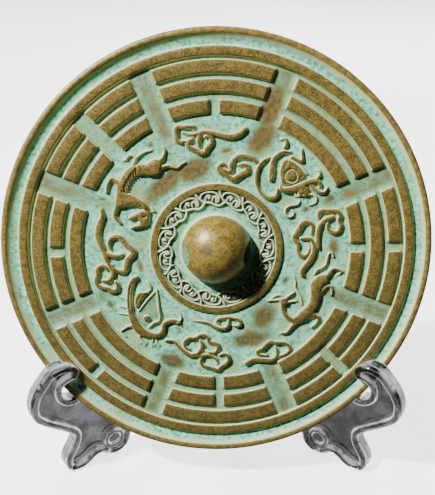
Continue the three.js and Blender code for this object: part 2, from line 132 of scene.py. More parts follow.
# The mirror: one bronze casting. The disc, the rim, the knob, the bars and all the figures are one skin,
# worked as closed loops of points from the middle of the back, round the rim and in to the knob.
# Sizes are in millimetres in the disc's own plane, angles in degrees clockwise from its top.
DISC_RADIUS = 75
BACK_DEPTH = 2.2
RIM_HEIGHT = 1.6
RELIEF = 1.1
ORNAMENT_TURN = -0.9
KNOB_RADIUS = 12.1
KNOB_HEIGHT = 11.4
HOLE_WIDTH = 8.2
HOLE_HEIGHT = 7.2
HOLE_SIDESTEP = -1.2
HOLE_FLOOR = 0.12
MASS_WALL = 0.45
GROOVE_WALL = 0.3
START_ANGLE = -22.5
ROUND_CORNERS = 480
MIRROR_TRIANGLES = 186000


def smooth(low, high, value):
    """Nought below low, one above high, and a soft slope between."""
    share = np.clip((value - low) / (high - low), 0, 1)
    return share * share * (3 - 2 * share)


def flat_point(point):
    """A point of [degrees, radius] as x and y in the disc's plane."""
    return np.array([point[1] * sin(radians(point[0])), point[1] * cos(radians(point[0]))])


def spline(points, closed=False, fineness=7):
    """A smooth line through points of x, y and width, as a dense row of such points."""
    if closed:
        padded = [points[-1], *points, points[0], points[1]]
    else:
        padded = [2 * points[0] - points[1], *points, 2 * points[-1] - points[-2]]
    line = []
    for before, start, end, after in zip(padded, padded[1:], padded[2:], padded[3:]):
        for step in range(fineness):
            t = step / fineness
            bend = (2 * before - 5 * start + 4 * end - after) * t**2
            twist = (3 * start - before - 3 * end + after) * t**3
            line.append(0.5 * (2 * start + (end - before) * t + bend + twist))
    if not closed:
        line.append(padded[-2])
    return np.array(line)


def distances(x, y, line, closed=False):
    """How far the points are from the line's edge, where the line has its own width at each place."""
    ends = np.roll(line, -1, axis=0) if closed else line[1:]
    starts = line if closed else line[:-1]
    span = ends[:, :2] - starts[:, :2]
    dx = x[:, None] - starts[None, :, 0]
    dy = y[:, None] - starts[None, :, 1]
    along = np.clip((dx * span[:, 0] + dy * span[:, 1]) / (span**2).sum(1), 0, 1)
    gap = np.hypot(dx - along * span[:, 0], dy - along * span[:, 1])
    half = (starts[None, :, 2] * (1 - along) + ends[None, :, 2] * along) / 2
    nearest = (gap - half).argmin(1)
    row = np.arange(len(x))
    return gap[row, nearest], half[row, nearest]


class Field:
    """Heights over a ring of the disc, on a grid of angles and radii, raised and cut like clay."""

    def __init__(self, outer, inner, rows, columns):
        self.radii = np.linspace(outer, inner, rows)
        self.angles = START_ANGLE + np.arange(columns) * 360 / columns
        turned, away = np.meshgrid(np.radians(self.angles), self.radii)
        self.x = away * np.sin(turned)
        self.y = away * np.cos(turned)
        self.height = np.zeros_like(self.x)

    def near(self, line, margin):
        """The grid's points that lie within a margin of the line's own box."""
        low = line[:, :2].min(0) - margin
        high = line[:, :2].max(0) + margin
        return np.nonzero((self.x > low[0]) & (self.x < high[0]) & (self.y > low[1]) & (self.y < high[1]))

    @staticmethod
    def line_of(points, width, closed=False):
        """A smooth line through points of [degrees, radius], with widths that run from end to end."""
        widths = np.interp(np.linspace(0, 1, len(points)), np.linspace(0, 1, len(np.atleast_1d(width))),
                           np.atleast_1d(width))
        return spline([np.append(flat_point(p), w) for p, w in zip(points, widths)], closed)

    def ridge(self, points, width, height=0.85, wall=0.5, crown=0.45):
        """Lays a rounded strip of clay along a line. A very narrow strip stays a little lower."""
        line = self.line_of(points, width)
        at = self.near(line, 2.5)
        gap, half = distances(self.x[at], self.y[at], line)
        body = 1 - smooth(-wall / 2, wall / 2, gap - half)
        rounded = 1 - crown * np.clip(gap / np.maximum(half + wall / 2, 0.3), 0, 1)**2.5
        fine = 0.7 + 0.3 * smooth(0.2, 0.7, half)
        self.height[at] = np.maximum(self.height[at], height * body * rounded * fine)

    def groove(self, points, width, depth):
        """Cuts along a line into what is raised, and no deeper than the ground."""
        line = self.line_of(points, width)
        at = self.near(line, 1.5)
        gap, half = distances(self.x[at], self.y[at], line)
        cut = depth * (1 - smooth(-GROOVE_WALL / 2, GROOVE_WALL / 2, gap - half))
        self.height[at] = np.maximum(self.height[at] - cut, np.minimum(self.height[at], 0))

    def mass(self, outline, height, crown, reach=2.0):
        """Fills an outline and swells it by the crown, over the reach from its edge inwards."""
        line = self.line_of(outline, 0.0, closed=True)
        at = self.near(line, 2.0)
        x, y = self.x[at], self.y[at]
        gap, _ = distances(x, y, line, closed=True)
        x0, y0 = line[None, :, 0], line[None, :, 1]
        x1, y1 = np.roll(line[:, 0], -1)[None, :], np.roll(line[:, 1], -1)[None, :]
        crossed = (y0 > y[:, None]) != (y1 > y[:, None])
        side = x[:, None] < (x1 - x0) * (y[:, None] - y0) / np.where(y1 == y0, 1e-9, y1 - y0) + x0
        inside = (crossed & side).sum(1) % 2 == 1
        depth = np.where(inside, gap, -gap)
        body = smooth(-MASS_WALL / 2, MASS_WALL / 2, depth)
        swell = crown * np.sqrt(1 - (1 - np.clip(depth / reach, 0, 1))**2)
        self.height[at] = np.maximum(self.height[at], body * height + swell)

    def ring(self, centre, radius, width, height):
        """Lays a round ridge about a centre of [degrees, radius]."""
        turns = [(centre[0] + degrees(radius * cos(a) / centre[1]), centre[1] + radius * sin(a))
                 for a in np.linspace(0, 2 * pi, 9)]
        self.ridge(turns, width, height)

    def finish(self, lift):
        """Softens the work, lifts it to its full height and closes its two edges down to the ground."""
        h = self.height
        h = (np.roll(h, 1, 1) + 2 * h + np.roll(h, -1, 1)) / 4
        h[1:-1] = (h[:-2] + 2 * h[1:-1] + h[2:]) / 4
        self.height = h * lift
        self.height[0] = 0
        self.height[-1] = 0


def carve_tortoise(field):
    """A tortoise with a snake wound round it: a domed shell, a coil over its back and curls of breath."""
    field.mass([(37.3, 38.6), (38, 36.4), (40, 34.2), (43.2, 32.6), (46, 32.1), (48.6, 33.4), (50.4, 35.6),
                (51.8, 37.8), (51.6, 39.6), (48.4, 40.2), (45, 40.4), (41.6, 40.2), (39.2, 39.6)],
               0.6, 0.4, 2.6)
    for scale in range(8):
        field.groove([(38.4 + scale * 0.5, 38 - scale * 0.55), (39.4 + scale * 0.5, 38.2 - scale * 0.5)],
                     0.22, 0.22)
    for start in (39.5, 42.6, 49.8):
        field.groove([(start, 39.2), (start + 0.6, 37)], 0.25, 0.25)
    field.groove([(42.3, 36.4), (43.2, 34.9), (45.6, 33.9), (48.2, 34.6), (49.4, 36.2), (48.2, 37.6),
                  (45.6, 38.2), (43.2, 37.7), (42.3, 36.4)], 0.45, 0.5)
    field.mass([(44.3, 36.1), (45.2, 35.4), (46.5, 35.3), (47.5, 36), (46.8, 36.8), (45.3, 36.9)],
               0.8, 0.35, 1.2)
    for stud in range(7):
        field.ridge([(39.6 + stud * 1.3, 36 - stud * 0.5), (39.8 + stud * 1.3, 36.1 - stud * 0.5)],
                    0.5, 0.98)
        field.ridge([(49.6 - stud * 0.2, 34.6 + stud * 0.5), (49.8 - stud * 0.2, 34.6 + stud * 0.5)],
                    0.4, 0.98)
    field.ridge([(37.6, 39.2), (40, 40.4), (43.4, 40.9), (47.2, 40.9), (51, 40.5)], (0.6, 0.8, 0.5), 0.85)
    for hair in range(5):
        field.ridge([(55.4 + hair * 0.9, 33.8 + hair * 0.75), (56.6 + hair * 0.9, 33 + hair * 0.8)],
                    0.35, 0.6)
    field.ridge([(30.6, 36.6), (28.6, 34.8), (27.6, 32.4), (28.4, 29.9), (31, 27.4), (35, 25.7), (40, 24.9),
                 (45, 25.2), (48.3, 26.6), (48.6, 28.3), (45.6, 29.8)],
                (0.9, 1.3, 1.3, 1.3, 1.5, 1.9, 1.0), 0.9)
    field.ridge([(38.4, 30.7), (36.6, 32.4), (34.2, 34.8), (32.8, 37), (33.6, 39.4), (35.4, 40.9),
                 (37.8, 42)], (1.6, 2.2, 1.6, 1.5, 1.4, 0.8), 0.9)
    field.groove([(37.6, 31.2), (36.3, 32.6)], 0.3, 0.25)
    field.ridge([(45.4, 31.2), (48, 30.8), (50.6, 31.9), (52.6, 34), (53.6, 36.4), (54, 38.8), (55.4, 41),
                 (57.4, 42.2), (59.4, 41.7)], (0.8, 1.6, 2.4, 2.2, 1.8, 1.6, 1.0), 1.05)
    field.mass([(54.6, 34.8), (56.6, 34), (58.8, 34.8), (60.2, 36.6), (59, 37.8), (56.4, 38.2), (54.6, 37)],
               0.75, 0.3)
    field.groove([(56, 36.6), (58.4, 36.9), (59.8, 37.2)], 0.3, 0.4)
    field.groove([(57.4, 35.2), (58.2, 35.6)], 0.4, 0.4)
    field.ridge([(54.6, 33.4), (56.6, 33.2), (58, 34.4)], 0.8, 0.7)
    field.ridge([(60.4, 33.3), (61.5, 32), (60.4, 30.2), (60, 28.6), (61.2, 27.5), (64, 27), (66.4, 27.5),
                 (66.9, 28.6), (65.6, 29.6), (63.4, 29.4)], (0.7, 1.0, 1.0, 0.9, 0.7), 0.8)
    field.ridge([(56.6, 39.5), (58.8, 39.6), (61.4, 40.5), (62.6, 42), (61.6, 43.6)], (1.6, 1.4, 1.0), 0.85)
    field.ridge([(59.8, 36.9), (61, 38.3), (63.4, 38.8), (65.4, 37.8), (65.2, 35.8)], (1.0, 0.8, 0.6), 0.75)
    field.ridge([(60.4, 35.4), (62, 35.6), (63.4, 35.3)], 0.5, 0.5)
    field.ridge([(34.4, 42), (34, 43.6), (32.4, 44.6), (30.8, 43.8)], (1.4, 1.3, 0.8), 0.8)
    field.ridge([(40, 41), (42.6, 41.4), (44.4, 42.3), (43, 43.6), (41, 45)], (1.6, 1.3, 1.0), 0.85)
    field.ridge([(55.2, 42.6), (55, 43.7), (53.4, 44.4), (51.8, 43.8)], (1.3, 1.2, 0.7), 0.8)


def carve_dragon(field):
    """A dragon that leaps outwards with an arched neck, a small horned head and a waved mane."""
    field.ridge([(94.6, 41), (92.9, 40.4), (93, 39.5), (94.8, 39), (98.5, 38.8), (100.9, 37.8),
                 (102.8, 36.3), (105.6, 35.7)], (0.8, 0.9, 0.9, 1.0, 1.2), 0.85)
    field.mass([(105.2, 39.6), (106.2, 37.4), (108, 35.9), (111.2, 35.4), (114.4, 36.2), (117.6, 37.2),
                (121.2, 37.9), (125, 37.7), (128, 37.2), (131.4, 37.6), (132.4, 39), (130.6, 40.6),
                (127, 41.2), (122.4, 41.2), (117, 40.6), (113, 39.7), (110, 39.9), (107.4, 41)],
               0.85, 0.45, 2.4)
    field.ridge([(130.4, 39.6), (133.6, 38.4), (134.9, 36.4), (135.1, 34.4), (133.8, 32.3), (131.6, 30.9),
                 (129.4, 30.2)], (2.4, 2.2, 1.9, 1.6, 1.6, 1.9), 0.95)
    field.ridge([(132.3, 37.6), (129.6, 38.4), (126.6, 40), (125.2, 42)], (1.6, 2.0, 1.6), 1.05)
    field.mass([(126.6, 30.4), (128, 29.2), (130.2, 29), (131.6, 30), (130.8, 31.3), (128.6, 31.8)],
               0.85, 0.35, 1.2)
    field.ridge([(128.4, 30.2), (126.2, 30.4), (123.4, 30.9), (120.6, 31.4)], (1.2, 1.2, 0.9), 0.9)
    field.ridge([(128.8, 31.4), (127, 32.2), (125.2, 33.2), (124, 34)], (1.0, 0.8, 0.6), 0.8)
    field.groove([(128.6, 30), (129.3, 30.3)], 0.35, 0.4)
    field.ridge([(126.4, 29.4), (127.1, 27.8), (129.6, 26.8), (132.4, 26.5), (134.8, 26.5)],
                (0.8, 1.0, 0.8, 0.6), 0.8)
    field.ridge([(129.6, 29), (131.4, 28.1), (134.2, 26.9), (136.8, 26)], (1.0, 0.8, 0.6), 0.8)
    field.ridge([(111, 29.1), (114, 30.2), (117.2, 30.9), (119.4, 32.6), (121.2, 34.4), (124.4, 36.3)],
                (0.6, 0.8, 0.8, 0.6), 0.75)
    field.ridge([(107.6, 37.4), (106, 38.9), (104.6, 40.2), (102, 40.8), (100.6, 41.8), (100.6, 43.4),
                 (101.2, 45)], (3.0, 2.4, 1.6, 1.3, 1.1, 0.9), 0.9)
    field.ridge([(101, 44.6), (102.8, 44.1)], 0.7, 0.7)
    field.ridge([(114.8, 39.6), (112.6, 40.2), (110.4, 40.8), (109.3, 42.2), (110.7, 43.3), (112.9, 43.8)],
                (1.6, 1.3, 1.2, 1.0, 0.8), 0.85)
    field.ridge([(126.8, 40.6), (125.5, 42.6), (125.4, 44), (127.6, 44.6), (130.6, 44.2)],
                (2.0, 1.7, 1.2, 0.9), 0.9)
    field.ridge([(132.6, 38.9), (135.4, 38.8), (138.4, 39), (141.4, 39.3), (143.8, 38.2)],
                (2.0, 1.4, 1.2, 1.0), 0.85)


def carve_phoenix(field):
    """A phoenix on thin legs, with a plain raised wing, a second wing behind it and a long swept tail."""
    field.ridge([(207.6, 29.8), (210.4, 29.9), (213.8, 31), (215.2, 32.8), (213.8, 34.8), (214, 37),
                 (216.8, 38.7), (220.4, 39.7)], (1.5, 1.7, 1.5, 1.7, 2.2, 2.8), 0.95)
    field.ridge([(218.8, 39.4), (222, 39.9), (225.6, 39.8), (229.8, 38.9), (234, 37.9), (238.4, 36.4),
                 (242.7, 34.7), (247.2, 32.9), (250.4, 31), (251, 29.7)],
                (2.6, 3.3, 3.4, 2.9, 2.2, 2.0, 2.1, 2.2, 1.9, 1.4), 0.95)
    field.groove([(236, 37.2), (240.4, 35.5), (244.8, 33.8), (248.6, 32)], 0.4, 0.35)
    field.ridge([(207.6, 29.4), (207.4, 28.1), (209.6, 26.8)], (0.9, 0.8, 0.5), 0.8)
    field.ridge([(207.2, 30.4), (205.6, 30.2), (204.2, 30.6)], 0.5, 0.6)
    field.ridge([(217.5, 30), (215.2, 30.2), (213, 30)], (0.5, 0.6, 0.4), 0.6)
    field.ridge([(208.8, 31.4), (207, 32.4), (204.2, 32.8)], (0.6, 0.5, 0.4), 0.6)
    field.ridge([(207.2, 31.2), (205.4, 32)], 0.45, 0.55)
    field.groove([(208.8, 29.6), (209.6, 29.9)], 0.35, 0.4)
    field.mass([(231.8, 35.4), (233.2, 32.4), (234.6, 29), (236, 25.8), (231, 27), (225, 29.2),
                (220.2, 31.2), (218.9, 32.9), (220.6, 34.5), (221.2, 36.2), (223.6, 38), (228, 38)],
               0.14, 0.0, 1.0)
    field.ridge([(221, 37), (220.8, 35.6), (220.2, 34.4), (218.7, 32.9), (220.2, 31.2), (225, 29.2),
                 (231, 27), (236, 25.6)], (0.9, 1.0, 1.1, 0.9, 0.7), 0.82)
    field.ridge([(236, 25.8), (234.8, 28.6), (233.4, 31.8), (231.8, 35.4)], (0.8, 0.7), 0.72)
    for barb in range(6):
        field.ridge([(226.6 + barb * 1.5, 30.2 - barb * 0.45), (228.4 + barb * 1.1, 34.2 - barb * 0.9)],
                    0.25, 0.3)
    field.mass([(223.6, 35), (224.6, 34), (226.4, 34), (227.6, 35), (226.8, 36.1), (224.8, 36.2)],
               0.6, 0.45, 1.2)
    field.ring((225.6, 35.1), 1.9, 0.35, 0.5)
    field.mass([(240.2, 33), (241.4, 31.6), (240.4, 30.2), (238.4, 28.6), (236.9, 30.6), (235.3, 32.8),
                (233.6, 34.9), (235, 35.3), (237.8, 34.4)], 0.7, 0.4, 1.8)
    field.groove([(239.4, 31.2), (237.6, 33), (235.6, 34.6)], 0.35, 0.35)
    field.ridge([(244.7, 26.9), (241.9, 26.8), (239, 27.3), (238, 29)], (0.7, 1.0, 1.0), 0.8)
    for points in ([(235.6, 37.4), (237.8, 38.3), (239.8, 39.9)],
                   [(232.8, 38.6), (234.7, 39.7), (236.8, 41.4)],
                   [(239.6, 36.4), (242.2, 36.8), (244, 38.2)]):
        field.ridge(points, (0.9, 0.8, 0.5), 0.75)
    field.ridge([(227.4, 40.4), (229, 42), (229.6, 43.6), (229.7, 45.2)], (1.3, 1.0, 0.7), 0.75)
    field.ridge([(230, 45.2), (228, 45.6), (226, 45.4)], 0.55, 0.6)
    field.ridge([(221.3, 42.2), (218.8, 42.9), (216.4, 43.5)], (0.7, 0.6, 0.5), 0.65)
    field.ridge([(218.9, 42.9), (219.2, 44)], 0.5, 0.55)
    field.ridge([(217.6, 43.5), (216.6, 42.4)], 0.5, 0.55)
    field.ridge([(222.6, 41.2), (221.3, 42.3)], 0.9, 0.7)
    field.ridge([(215.4, 39.6), (214.8, 41.2), (212.7, 41.6)], (0.7, 0.6, 0.5), 0.65)
    field.ridge([(214.4, 39.2), (212.4, 40.3), (210.6, 40.7)], (0.7, 0.6, 0.5), 0.65)
    field.ridge([(213.2, 41.4), (213.6, 42.4)], 0.45, 0.5)


def carve_tiger(field):
    """A tiger that turns round on itself, with a ribbed flank, an open mouth and its tail out."""
    field.mass([(318, 35.2), (320.8, 33.4), (324, 32.8), (327, 33.8), (328.8, 35.6), (327.6, 37.4),
                (324.6, 38), (321.6, 38.2), (319.6, 39.4), (317.4, 39.8), (316.2, 38.2)], 0.85, 0.45, 2.6)
    field.mass([(303.6, 36.4), (307.4, 37), (311, 37.4), (314.6, 37), (317.4, 35.8), (318.8, 37.6),
                (318, 39.8), (315.4, 41.1), (311.6, 41.4), (308, 41), (304.6, 40.5), (302, 40),
                (301.6, 38.2)], 0.75, 0.4, 2.4)
    field.mass([(302.2, 39.8), (298.6, 38.9), (295.4, 38.2), (294, 37.2), (295.2, 35.6), (297.6, 33.8),
                (299.6, 31.8), (300.2, 29.6), (300, 28), (302.8, 27.4), (304.4, 29.4), (304.7, 31.4),
                (304.4, 33.8), (303.9, 36.2), (303.2, 38.4)], 0.8, 0.45, 2.6)
    for rib in range(7):
        start = 303.6 + rib * 1.75
        inner = 36.3 + 0.16 * min(rib, 4)
        field.groove([(start, inner - 0.3), (start + 0.9, inner + 1.2), (start + 2.4, inner + 2.3)],
                     0.42, 0.6)
        field.ridge([(start + 0.8, inner - 0.2), (start + 1.7, inner + 1.1), (start + 3.2, inner + 2.2)],
                    0.4, 0.68)
    field.groove([(302.9, 38.2), (303.8, 35.6), (304.6, 33.2), (304.7, 31)], 0.35, 0.5)
    field.groove([(319.4, 39.2), (318.2, 37.4), (318.8, 35.4)], 0.35, 0.4)
    field.ridge([(302, 31), (302.3, 29.2), (301, 27.6), (298.4, 26.8)], (2.4, 1.9), 0.9)
    field.mass([(290, 32.2), (291.7, 32.2), (294, 31.1), (297.2, 29.9), (299.3, 28.6), (299.2, 26.7),
                (296.7, 25.5), (292.7, 25.2), (288.9, 25.9), (286.1, 28), (284.4, 30.1), (285.3, 30.7),
                (287.4, 29.6), (289, 28.3), (291.1, 28.3), (292.2, 29.5), (290.3, 31)], 0.7, 0.35, 1.2)
    field.ridge([(285.2, 30.4), (286.6, 28.6), (288.6, 26.6)], (0.5, 0.7), 0.62)
    for tooth in ((287.6, 29.2), (289.4, 28.3), (290.6, 31.6)):
        field.ridge([tooth, (tooth[0] + 0.6, tooth[1] + 0.5)], 0.45, 0.62)
    field.groove([(295.2, 27.6), (296.4, 26.9)], 0.5, 0.5)
    field.groove([(301.8, 30.2), (299.4, 30), (298.4, 31.2)], 0.3, 0.35)
    field.ridge([(301.4, 26), (302.6, 25.2)], 0.6, 0.75)
    field.ridge([(304.4, 27.2), (303.4, 26), (302.4, 24.8)], (0.5, 0.9, 0.6), 0.8)
    field.ridge([(294.8, 37.4), (291.7, 37.3), (289.2, 36.9), (287.7, 35.7), (286.2, 34.5)],
                (1.7, 1.5, 1.3, 1.2, 0.9), 0.95)
    field.ridge([(303.6, 39.2), (305.3, 40.4), (305.4, 42), (305.2, 43.5), (303.2, 43.6), (300.8, 43.2),
                 (298.6, 42.6)], (2.4, 2.2, 1.7, 1.4, 1.2, 1.1, 0.8), 0.9)
    field.ridge([(326.4, 34.8), (328.4, 33.8), (331.4, 33.2), (333.4, 32), (335.8, 31.3), (339.2, 31.9),
                 (341.4, 32)], (1.7, 1.3, 1.0, 0.9, 0.8, 0.7), 0.85)
    field.ridge([(327.4, 36.2), (330.6, 36.4), (332.6, 37.4), (333.9, 38.5), (333.6, 39.8)],
                (2.0, 1.4, 1.0, 0.9, 0.8), 0.85)
    field.ridge([(316.8, 40.6), (319.9, 41.6), (322.7, 41.7), (325.4, 41.5), (328, 40.7)],
                (1.2, 1.0, 0.9, 0.6), 0.75)
    field.ridge([(317.9, 40.8), (320, 42.2), (319.4, 43.5), (317.9, 44), (316.4, 43.7), (315.2, 44.1)],
                (1.0, 1.1, 1.0, 0.8), 0.75)


# The strokes of the clouds: points of [degrees, radius] and widths.
CLOUDS = (
    ([(7.2, 29.2), (5, 29.8), (3, 29), (2.2, 27.9), (4, 26.8), (8, 26.2), (11, 25.4), (14.4, 25.1),
      (17.4, 26.6), (19.6, 28), (22, 29), (21.2, 30.6), (18.4, 30.8), (15.6, 30.3)],
     (1.2, 1.4, 1.6, 1.8, 2.1, 2.0, 1.8, 1.0)),
    ([(3.6, 28.2), (6, 27.6), (9.4, 27.2)], 1.4),
    ([(11.6, 27.8), (10.8, 29.6), (11.8, 31.6), (14.4, 33.1), (18.4, 33.7), (22.4, 33.8), (25.6, 33.4)],
     (1.8, 1.7, 1.8, 1.9, 1.5)),
    ([(-11, 38.9), (-13.2, 38.4), (-14.2, 37), (-12.2, 35.6), (-10.4, 34.8), (-8, 33.7), (-5.6, 33.9),
      (-4, 35.2), (-2, 36.6), (-1.4, 38.2), (-2.8, 39.2), (-4.8, 39)],
     (1.4, 1.7, 1.8, 1.8, 1.9, 1.5, 1.0)),
    ([(-8.2, 36.2), (-8.2, 38), (-7, 39.8)], (1.3, 1.8, 1.6)),
    ([(-14.8, 38.7), (-17, 38.8), (-18.6, 40), (-18, 42), (-17, 43.9), (-14.6, 43.6), (-12, 43.2),
      (-9.6, 42.8), (-9.4, 41.9)], (1.0, 1.5, 1.7, 1.7, 1.4, 1.6, 1.0)),
    ([(-14.8, 41.8), (-12.6, 40.6), (-9.8, 40.2), (-6, 40.6), (-2, 40.2), (2, 39.5), (6, 39), (9.6, 39.4),
      (12.4, 40.8), (14, 42.4)], (0.9, 1.2, 1.5, 1.7, 2.0, 2.1, 1.8)),
    ([(81.4, 33.5), (79, 34), (76.4, 34.2), (74.4, 33.2), (73.6, 31.8), (75, 30.4), (77.4, 29.4),
      (79.6, 28.3), (82.4, 27.4), (85, 27.7), (87.4, 28.5), (90.4, 28.3), (93.4, 28.7), (95.6, 30),
      (95, 31.4), (92.4, 32.2), (89.4, 32.5), (87.2, 31.8)],
     (1.0, 1.3, 1.9, 2.1, 2.0, 1.7, 1.3, 1.6, 1.0, 0.6)),
    ([(83.6, 29.6), (84, 31.4), (84.8, 33), (87.4, 33.9), (91, 34.1), (95, 33.6), (99, 32.5),
      (102.6, 31.4), (105.6, 30.9), (108, 31.6)], (1.0, 1.5, 1.4, 1.8, 2.1, 2.0, 1.8, 1.4)),
    ([(75.2, 41.8), (75.4, 40), (76.2, 38.2), (78.4, 36.6), (81.4, 35.8), (85.4, 35.4), (90, 35.5)],
     (1.5, 1.9, 1.9, 1.7, 1.4)),
    ([(74.4, 37.2), (72.4, 37.2), (70.4, 38.2), (71.2, 40), (72.2, 41.8), (73, 43.6), (75.2, 44.4),
      (77.4, 43.6), (79.8, 43.9), (82, 43), (82.8, 41.4), (81.4, 39.8), (79.4, 39.2), (77.4, 39.6)],
     (1.0, 1.6, 1.7, 1.7, 1.6, 1.5, 1.7, 1.4, 0.9)),
    ([(155.8, 42.8), (157.8, 42), (159.6, 41), (159, 40), (156, 39.8), (153.4, 39), (151.2, 38.9),
      (149.4, 40), (147, 41), (145.2, 42.2), (144.6, 44), (145.6, 45.4), (148, 45.6), (150.4, 45.2)],
     (0.8, 1.2, 1.6, 1.7, 1.6, 1.4, 1.4, 1.4, 1.2)),
    ([(150.2, 41.2), (150.6, 43), (152, 44.7), (155, 45.2), (158, 44.1), (161, 43), (163.6, 42.6),
      (166.4, 43.2)], (0.8, 1.3, 1.8, 1.9, 1.9, 1.8)),
    ([(168.8, 28.2), (166.8, 28.8), (164.2, 28.9), (163, 27.8), (164.4, 26.4), (167.4, 25.7), (171, 25),
      (175, 25), (179, 25.3), (180.4, 26.2), (178.8, 27)], (0.7, 1.2, 1.3, 1.2, 1.1, 1.2, 0.8)),
    ([(171.2, 26), (171.8, 27.6), (174, 28.8), (178, 28.9), (182.6, 28.1), (187, 27), (192, 26.7),
      (198, 27)], (0.8, 1.5, 1.6, 1.4, 1.1, 0.6)),
    ([(186.8, 37.2), (184.6, 37.8), (182, 37.7), (180, 36.6), (180.2, 35), (182.4, 34.2), (185.2, 33.8),
      (186, 32.6), (188.2, 31.7), (191.2, 31.8), (193.4, 33), (195.4, 33.5), (197.8, 33.8), (199.4, 35.6),
      (198.4, 37.2), (195.6, 37.8)], (0.7, 1.2, 1.6, 1.6, 1.4, 1.6, 1.6, 1.4, 1.5, 0.8)),
    ([(190.8, 33.6), (189.2, 35), (189.4, 37), (191.2, 38.9), (194.4, 39.8), (198.2, 39), (202, 37.7),
      (205.6, 36.8), (209.2, 37.8)], (0.9, 1.6, 1.7, 1.8, 1.5, 1.3, 1.1)),
    ([(179.6, 38.8), (177.4, 38.3), (175, 39), (174.6, 40.8), (176, 42), (178.4, 42.9), (180.2, 44.2),
      (182.4, 43.8), (184.8, 43.3), (187, 43), (188.6, 41.6), (188.2, 39.8)],
     (0.7, 1.4, 1.6, 1.5, 1.6, 1.4, 1.5, 1.2)),
    ([(180.4, 42.2), (180.8, 40.6), (182.6, 39.3), (185.4, 38.8), (188.4, 39.2), (191, 39.6)],
     (0.8, 1.2, 1.3, 1.4)),
    ([(262.2, 36.8), (260, 36.6), (258, 35.4), (257, 33.8), (258.4, 32.4), (261.4, 31.8), (264.2, 31.1),
      (266, 29.8), (268.4, 28.9), (271, 29.6), (273.2, 31.1), (275.8, 32.4), (278, 33.8), (278, 35.6),
      (276.4, 37), (274, 37.4), (271.4, 37.1)], (1.0, 1.6, 2.0, 2.0, 2.2, 2.2, 2.1, 2.0, 2.0, 1.5, 0.9)),
    ([(267.6, 32.8), (266.8, 34.6), (267.2, 36.6), (268.6, 38.8)], (1.2, 1.8, 1.6)),
    ([(255, 41.4), (254.2, 39.8), (255.4, 38), (258.2, 37.1), (261.4, 37.6), (265, 38.4), (269, 39.1),
      (272.6, 40), (276.6, 41.2), (280.6, 41.5), (284.6, 41.2), (287.6, 41), (290.2, 42)],
     (1.2, 1.8, 1.7, 1.6, 1.8, 2.0, 2.3, 2.2, 1.9, 1.2)),
    ([(252.8, 37.3), (250.6, 37), (248.2, 38), (248.6, 39.8), (250.6, 40.8), (251.8, 42.4), (253.6, 43.6),
      (256, 43.6), (258.4, 42.6), (261, 42.2), (262.4, 40.8), (261.8, 39.4), (260, 39)],
     (1.0, 1.7, 2.0, 1.7, 1.7, 1.8, 1.8, 1.6, 1.0)))


def carve_clouds(field):
    """Seven curled clouds, each a rolled head and a long tail, between the animals."""
    for points, width in CLOUDS:
        field.ridge(points, width, 0.9)


# The strokes of one scroll: points, widths and height. A vine runs in from the ring over two curled eyes.
SCROLL = (
    ([(-19.9, 20.5), (-19, 19.4), (-17, 18.2), (-13.6, 17.1), (-9, 16.5), (-5, 16.2), (-1, 15.5),
      (3.4, 15.35), (8, 15.8), (11, 16.6)], (0.7, 0.62), 1.0),
    ([(-16.2, 18.6), (-14.4, 19.6), (-11, 20.05), (-6.8, 20.1), (-2.4, 19.9), (1.2, 19.3), (3.2, 18.5),
      (4, 17.6), (3.4, 16.8), (1, 16.4)], (0.5, 0.6, 0.7), 0.92),
    ([(-4, 16.9), (-3.2, 17.8), (-0.4, 18.3), (1.4, 17.8), (1, 17.2)], (0.5, 0.95), 0.86),
    ([(-11, 17.4), (-10.2, 18.4), (-8, 18.9), (-6.2, 18.6), (-7, 18)], (0.4, 1.0), 0.8))
SCROLLS = 15


def carve_scroll_band(field):
    """Fifteen linked scrolls round the knob."""
    for unit in range(SCROLLS):
        start = unit * 360 / SCROLLS
        for points, width, height in SCROLL:
            field.ridge([(start + angle, radius) for angle, radius in points], width, height, 0.35, 0.4)


class Skin:
    """Loops of points, joined into one closed surface."""

    def __init__(self):
        self.points = []
        self.faces = []
        self.carved = []
        self.last = None

    def loop(self, radii, angles, heights, carved=False):
        """Adds a loop from angles in rising order and joins it to the loop before."""
        angles = np.asarray(angles, float)
        radii = np.broadcast_to(radii, angles.shape)
        heights = np.broadcast_to(heights, angles.shape)
        first = len(self.points)
        turned = np.radians(angles)
        self.points.extend(zip(radii * np.sin(turned), radii * np.cos(turned), heights))
        numbers = list(range(first, len(self.points)))
        if carved:
            self.carved.extend(numbers)
        if self.last:
            self.join(*self.last, numbers, angles)
        self.last = (numbers, angles)

    def join(self, a, a_angles, b, b_angles):
        """Faces between two loops, by turns on the side whose next point comes first."""
        if len(a) == len(b):
            for i, j in zip(range(len(a)), [*range(1, len(a)), 0]):
                self.faces.append((a[i], a[j], b[j], b[i]))
            return
        i = j = 0
        while i < len(a) or j < len(b):
            next_a = a_angles[i + 1] if i + 1 < len(a) else 360 + a_angles[0]
            next_b = b_angles[j + 1] if j + 1 < len(b) else 360 + b_angles[0]
            here_a, here_b = a[i % len(a)], b[j % len(b)]
            if j >= len(b) or (i < len(a) and next_a <= next_b):
                self.faces.append((here_a, a[(i + 1) % len(a)], here_b))
                i += 1
            else:
                self.faces.append((here_a, b[(j + 1) % len(b)], here_b))
                j += 1

    def add_field(self, field):
        """Joins every row of a carved ring to the skin."""
        for row, radius in enumerate(field.radii):
            self.loop(radius, field.angles, field.height[row], carved=0 < row < len(field.radii) - 1)

    def cap(self, height, closes):
        """A middle point that closes the last loop, or starts the first one."""
        self.points.append((0, 0, height))
        middle = len(self.points) - 1
        numbers = self.last[0]
        for i, j in zip(numbers, numbers[1:] + numbers[:1]):
            self.faces.append((i, j, middle) if closes else (j, i, middle))


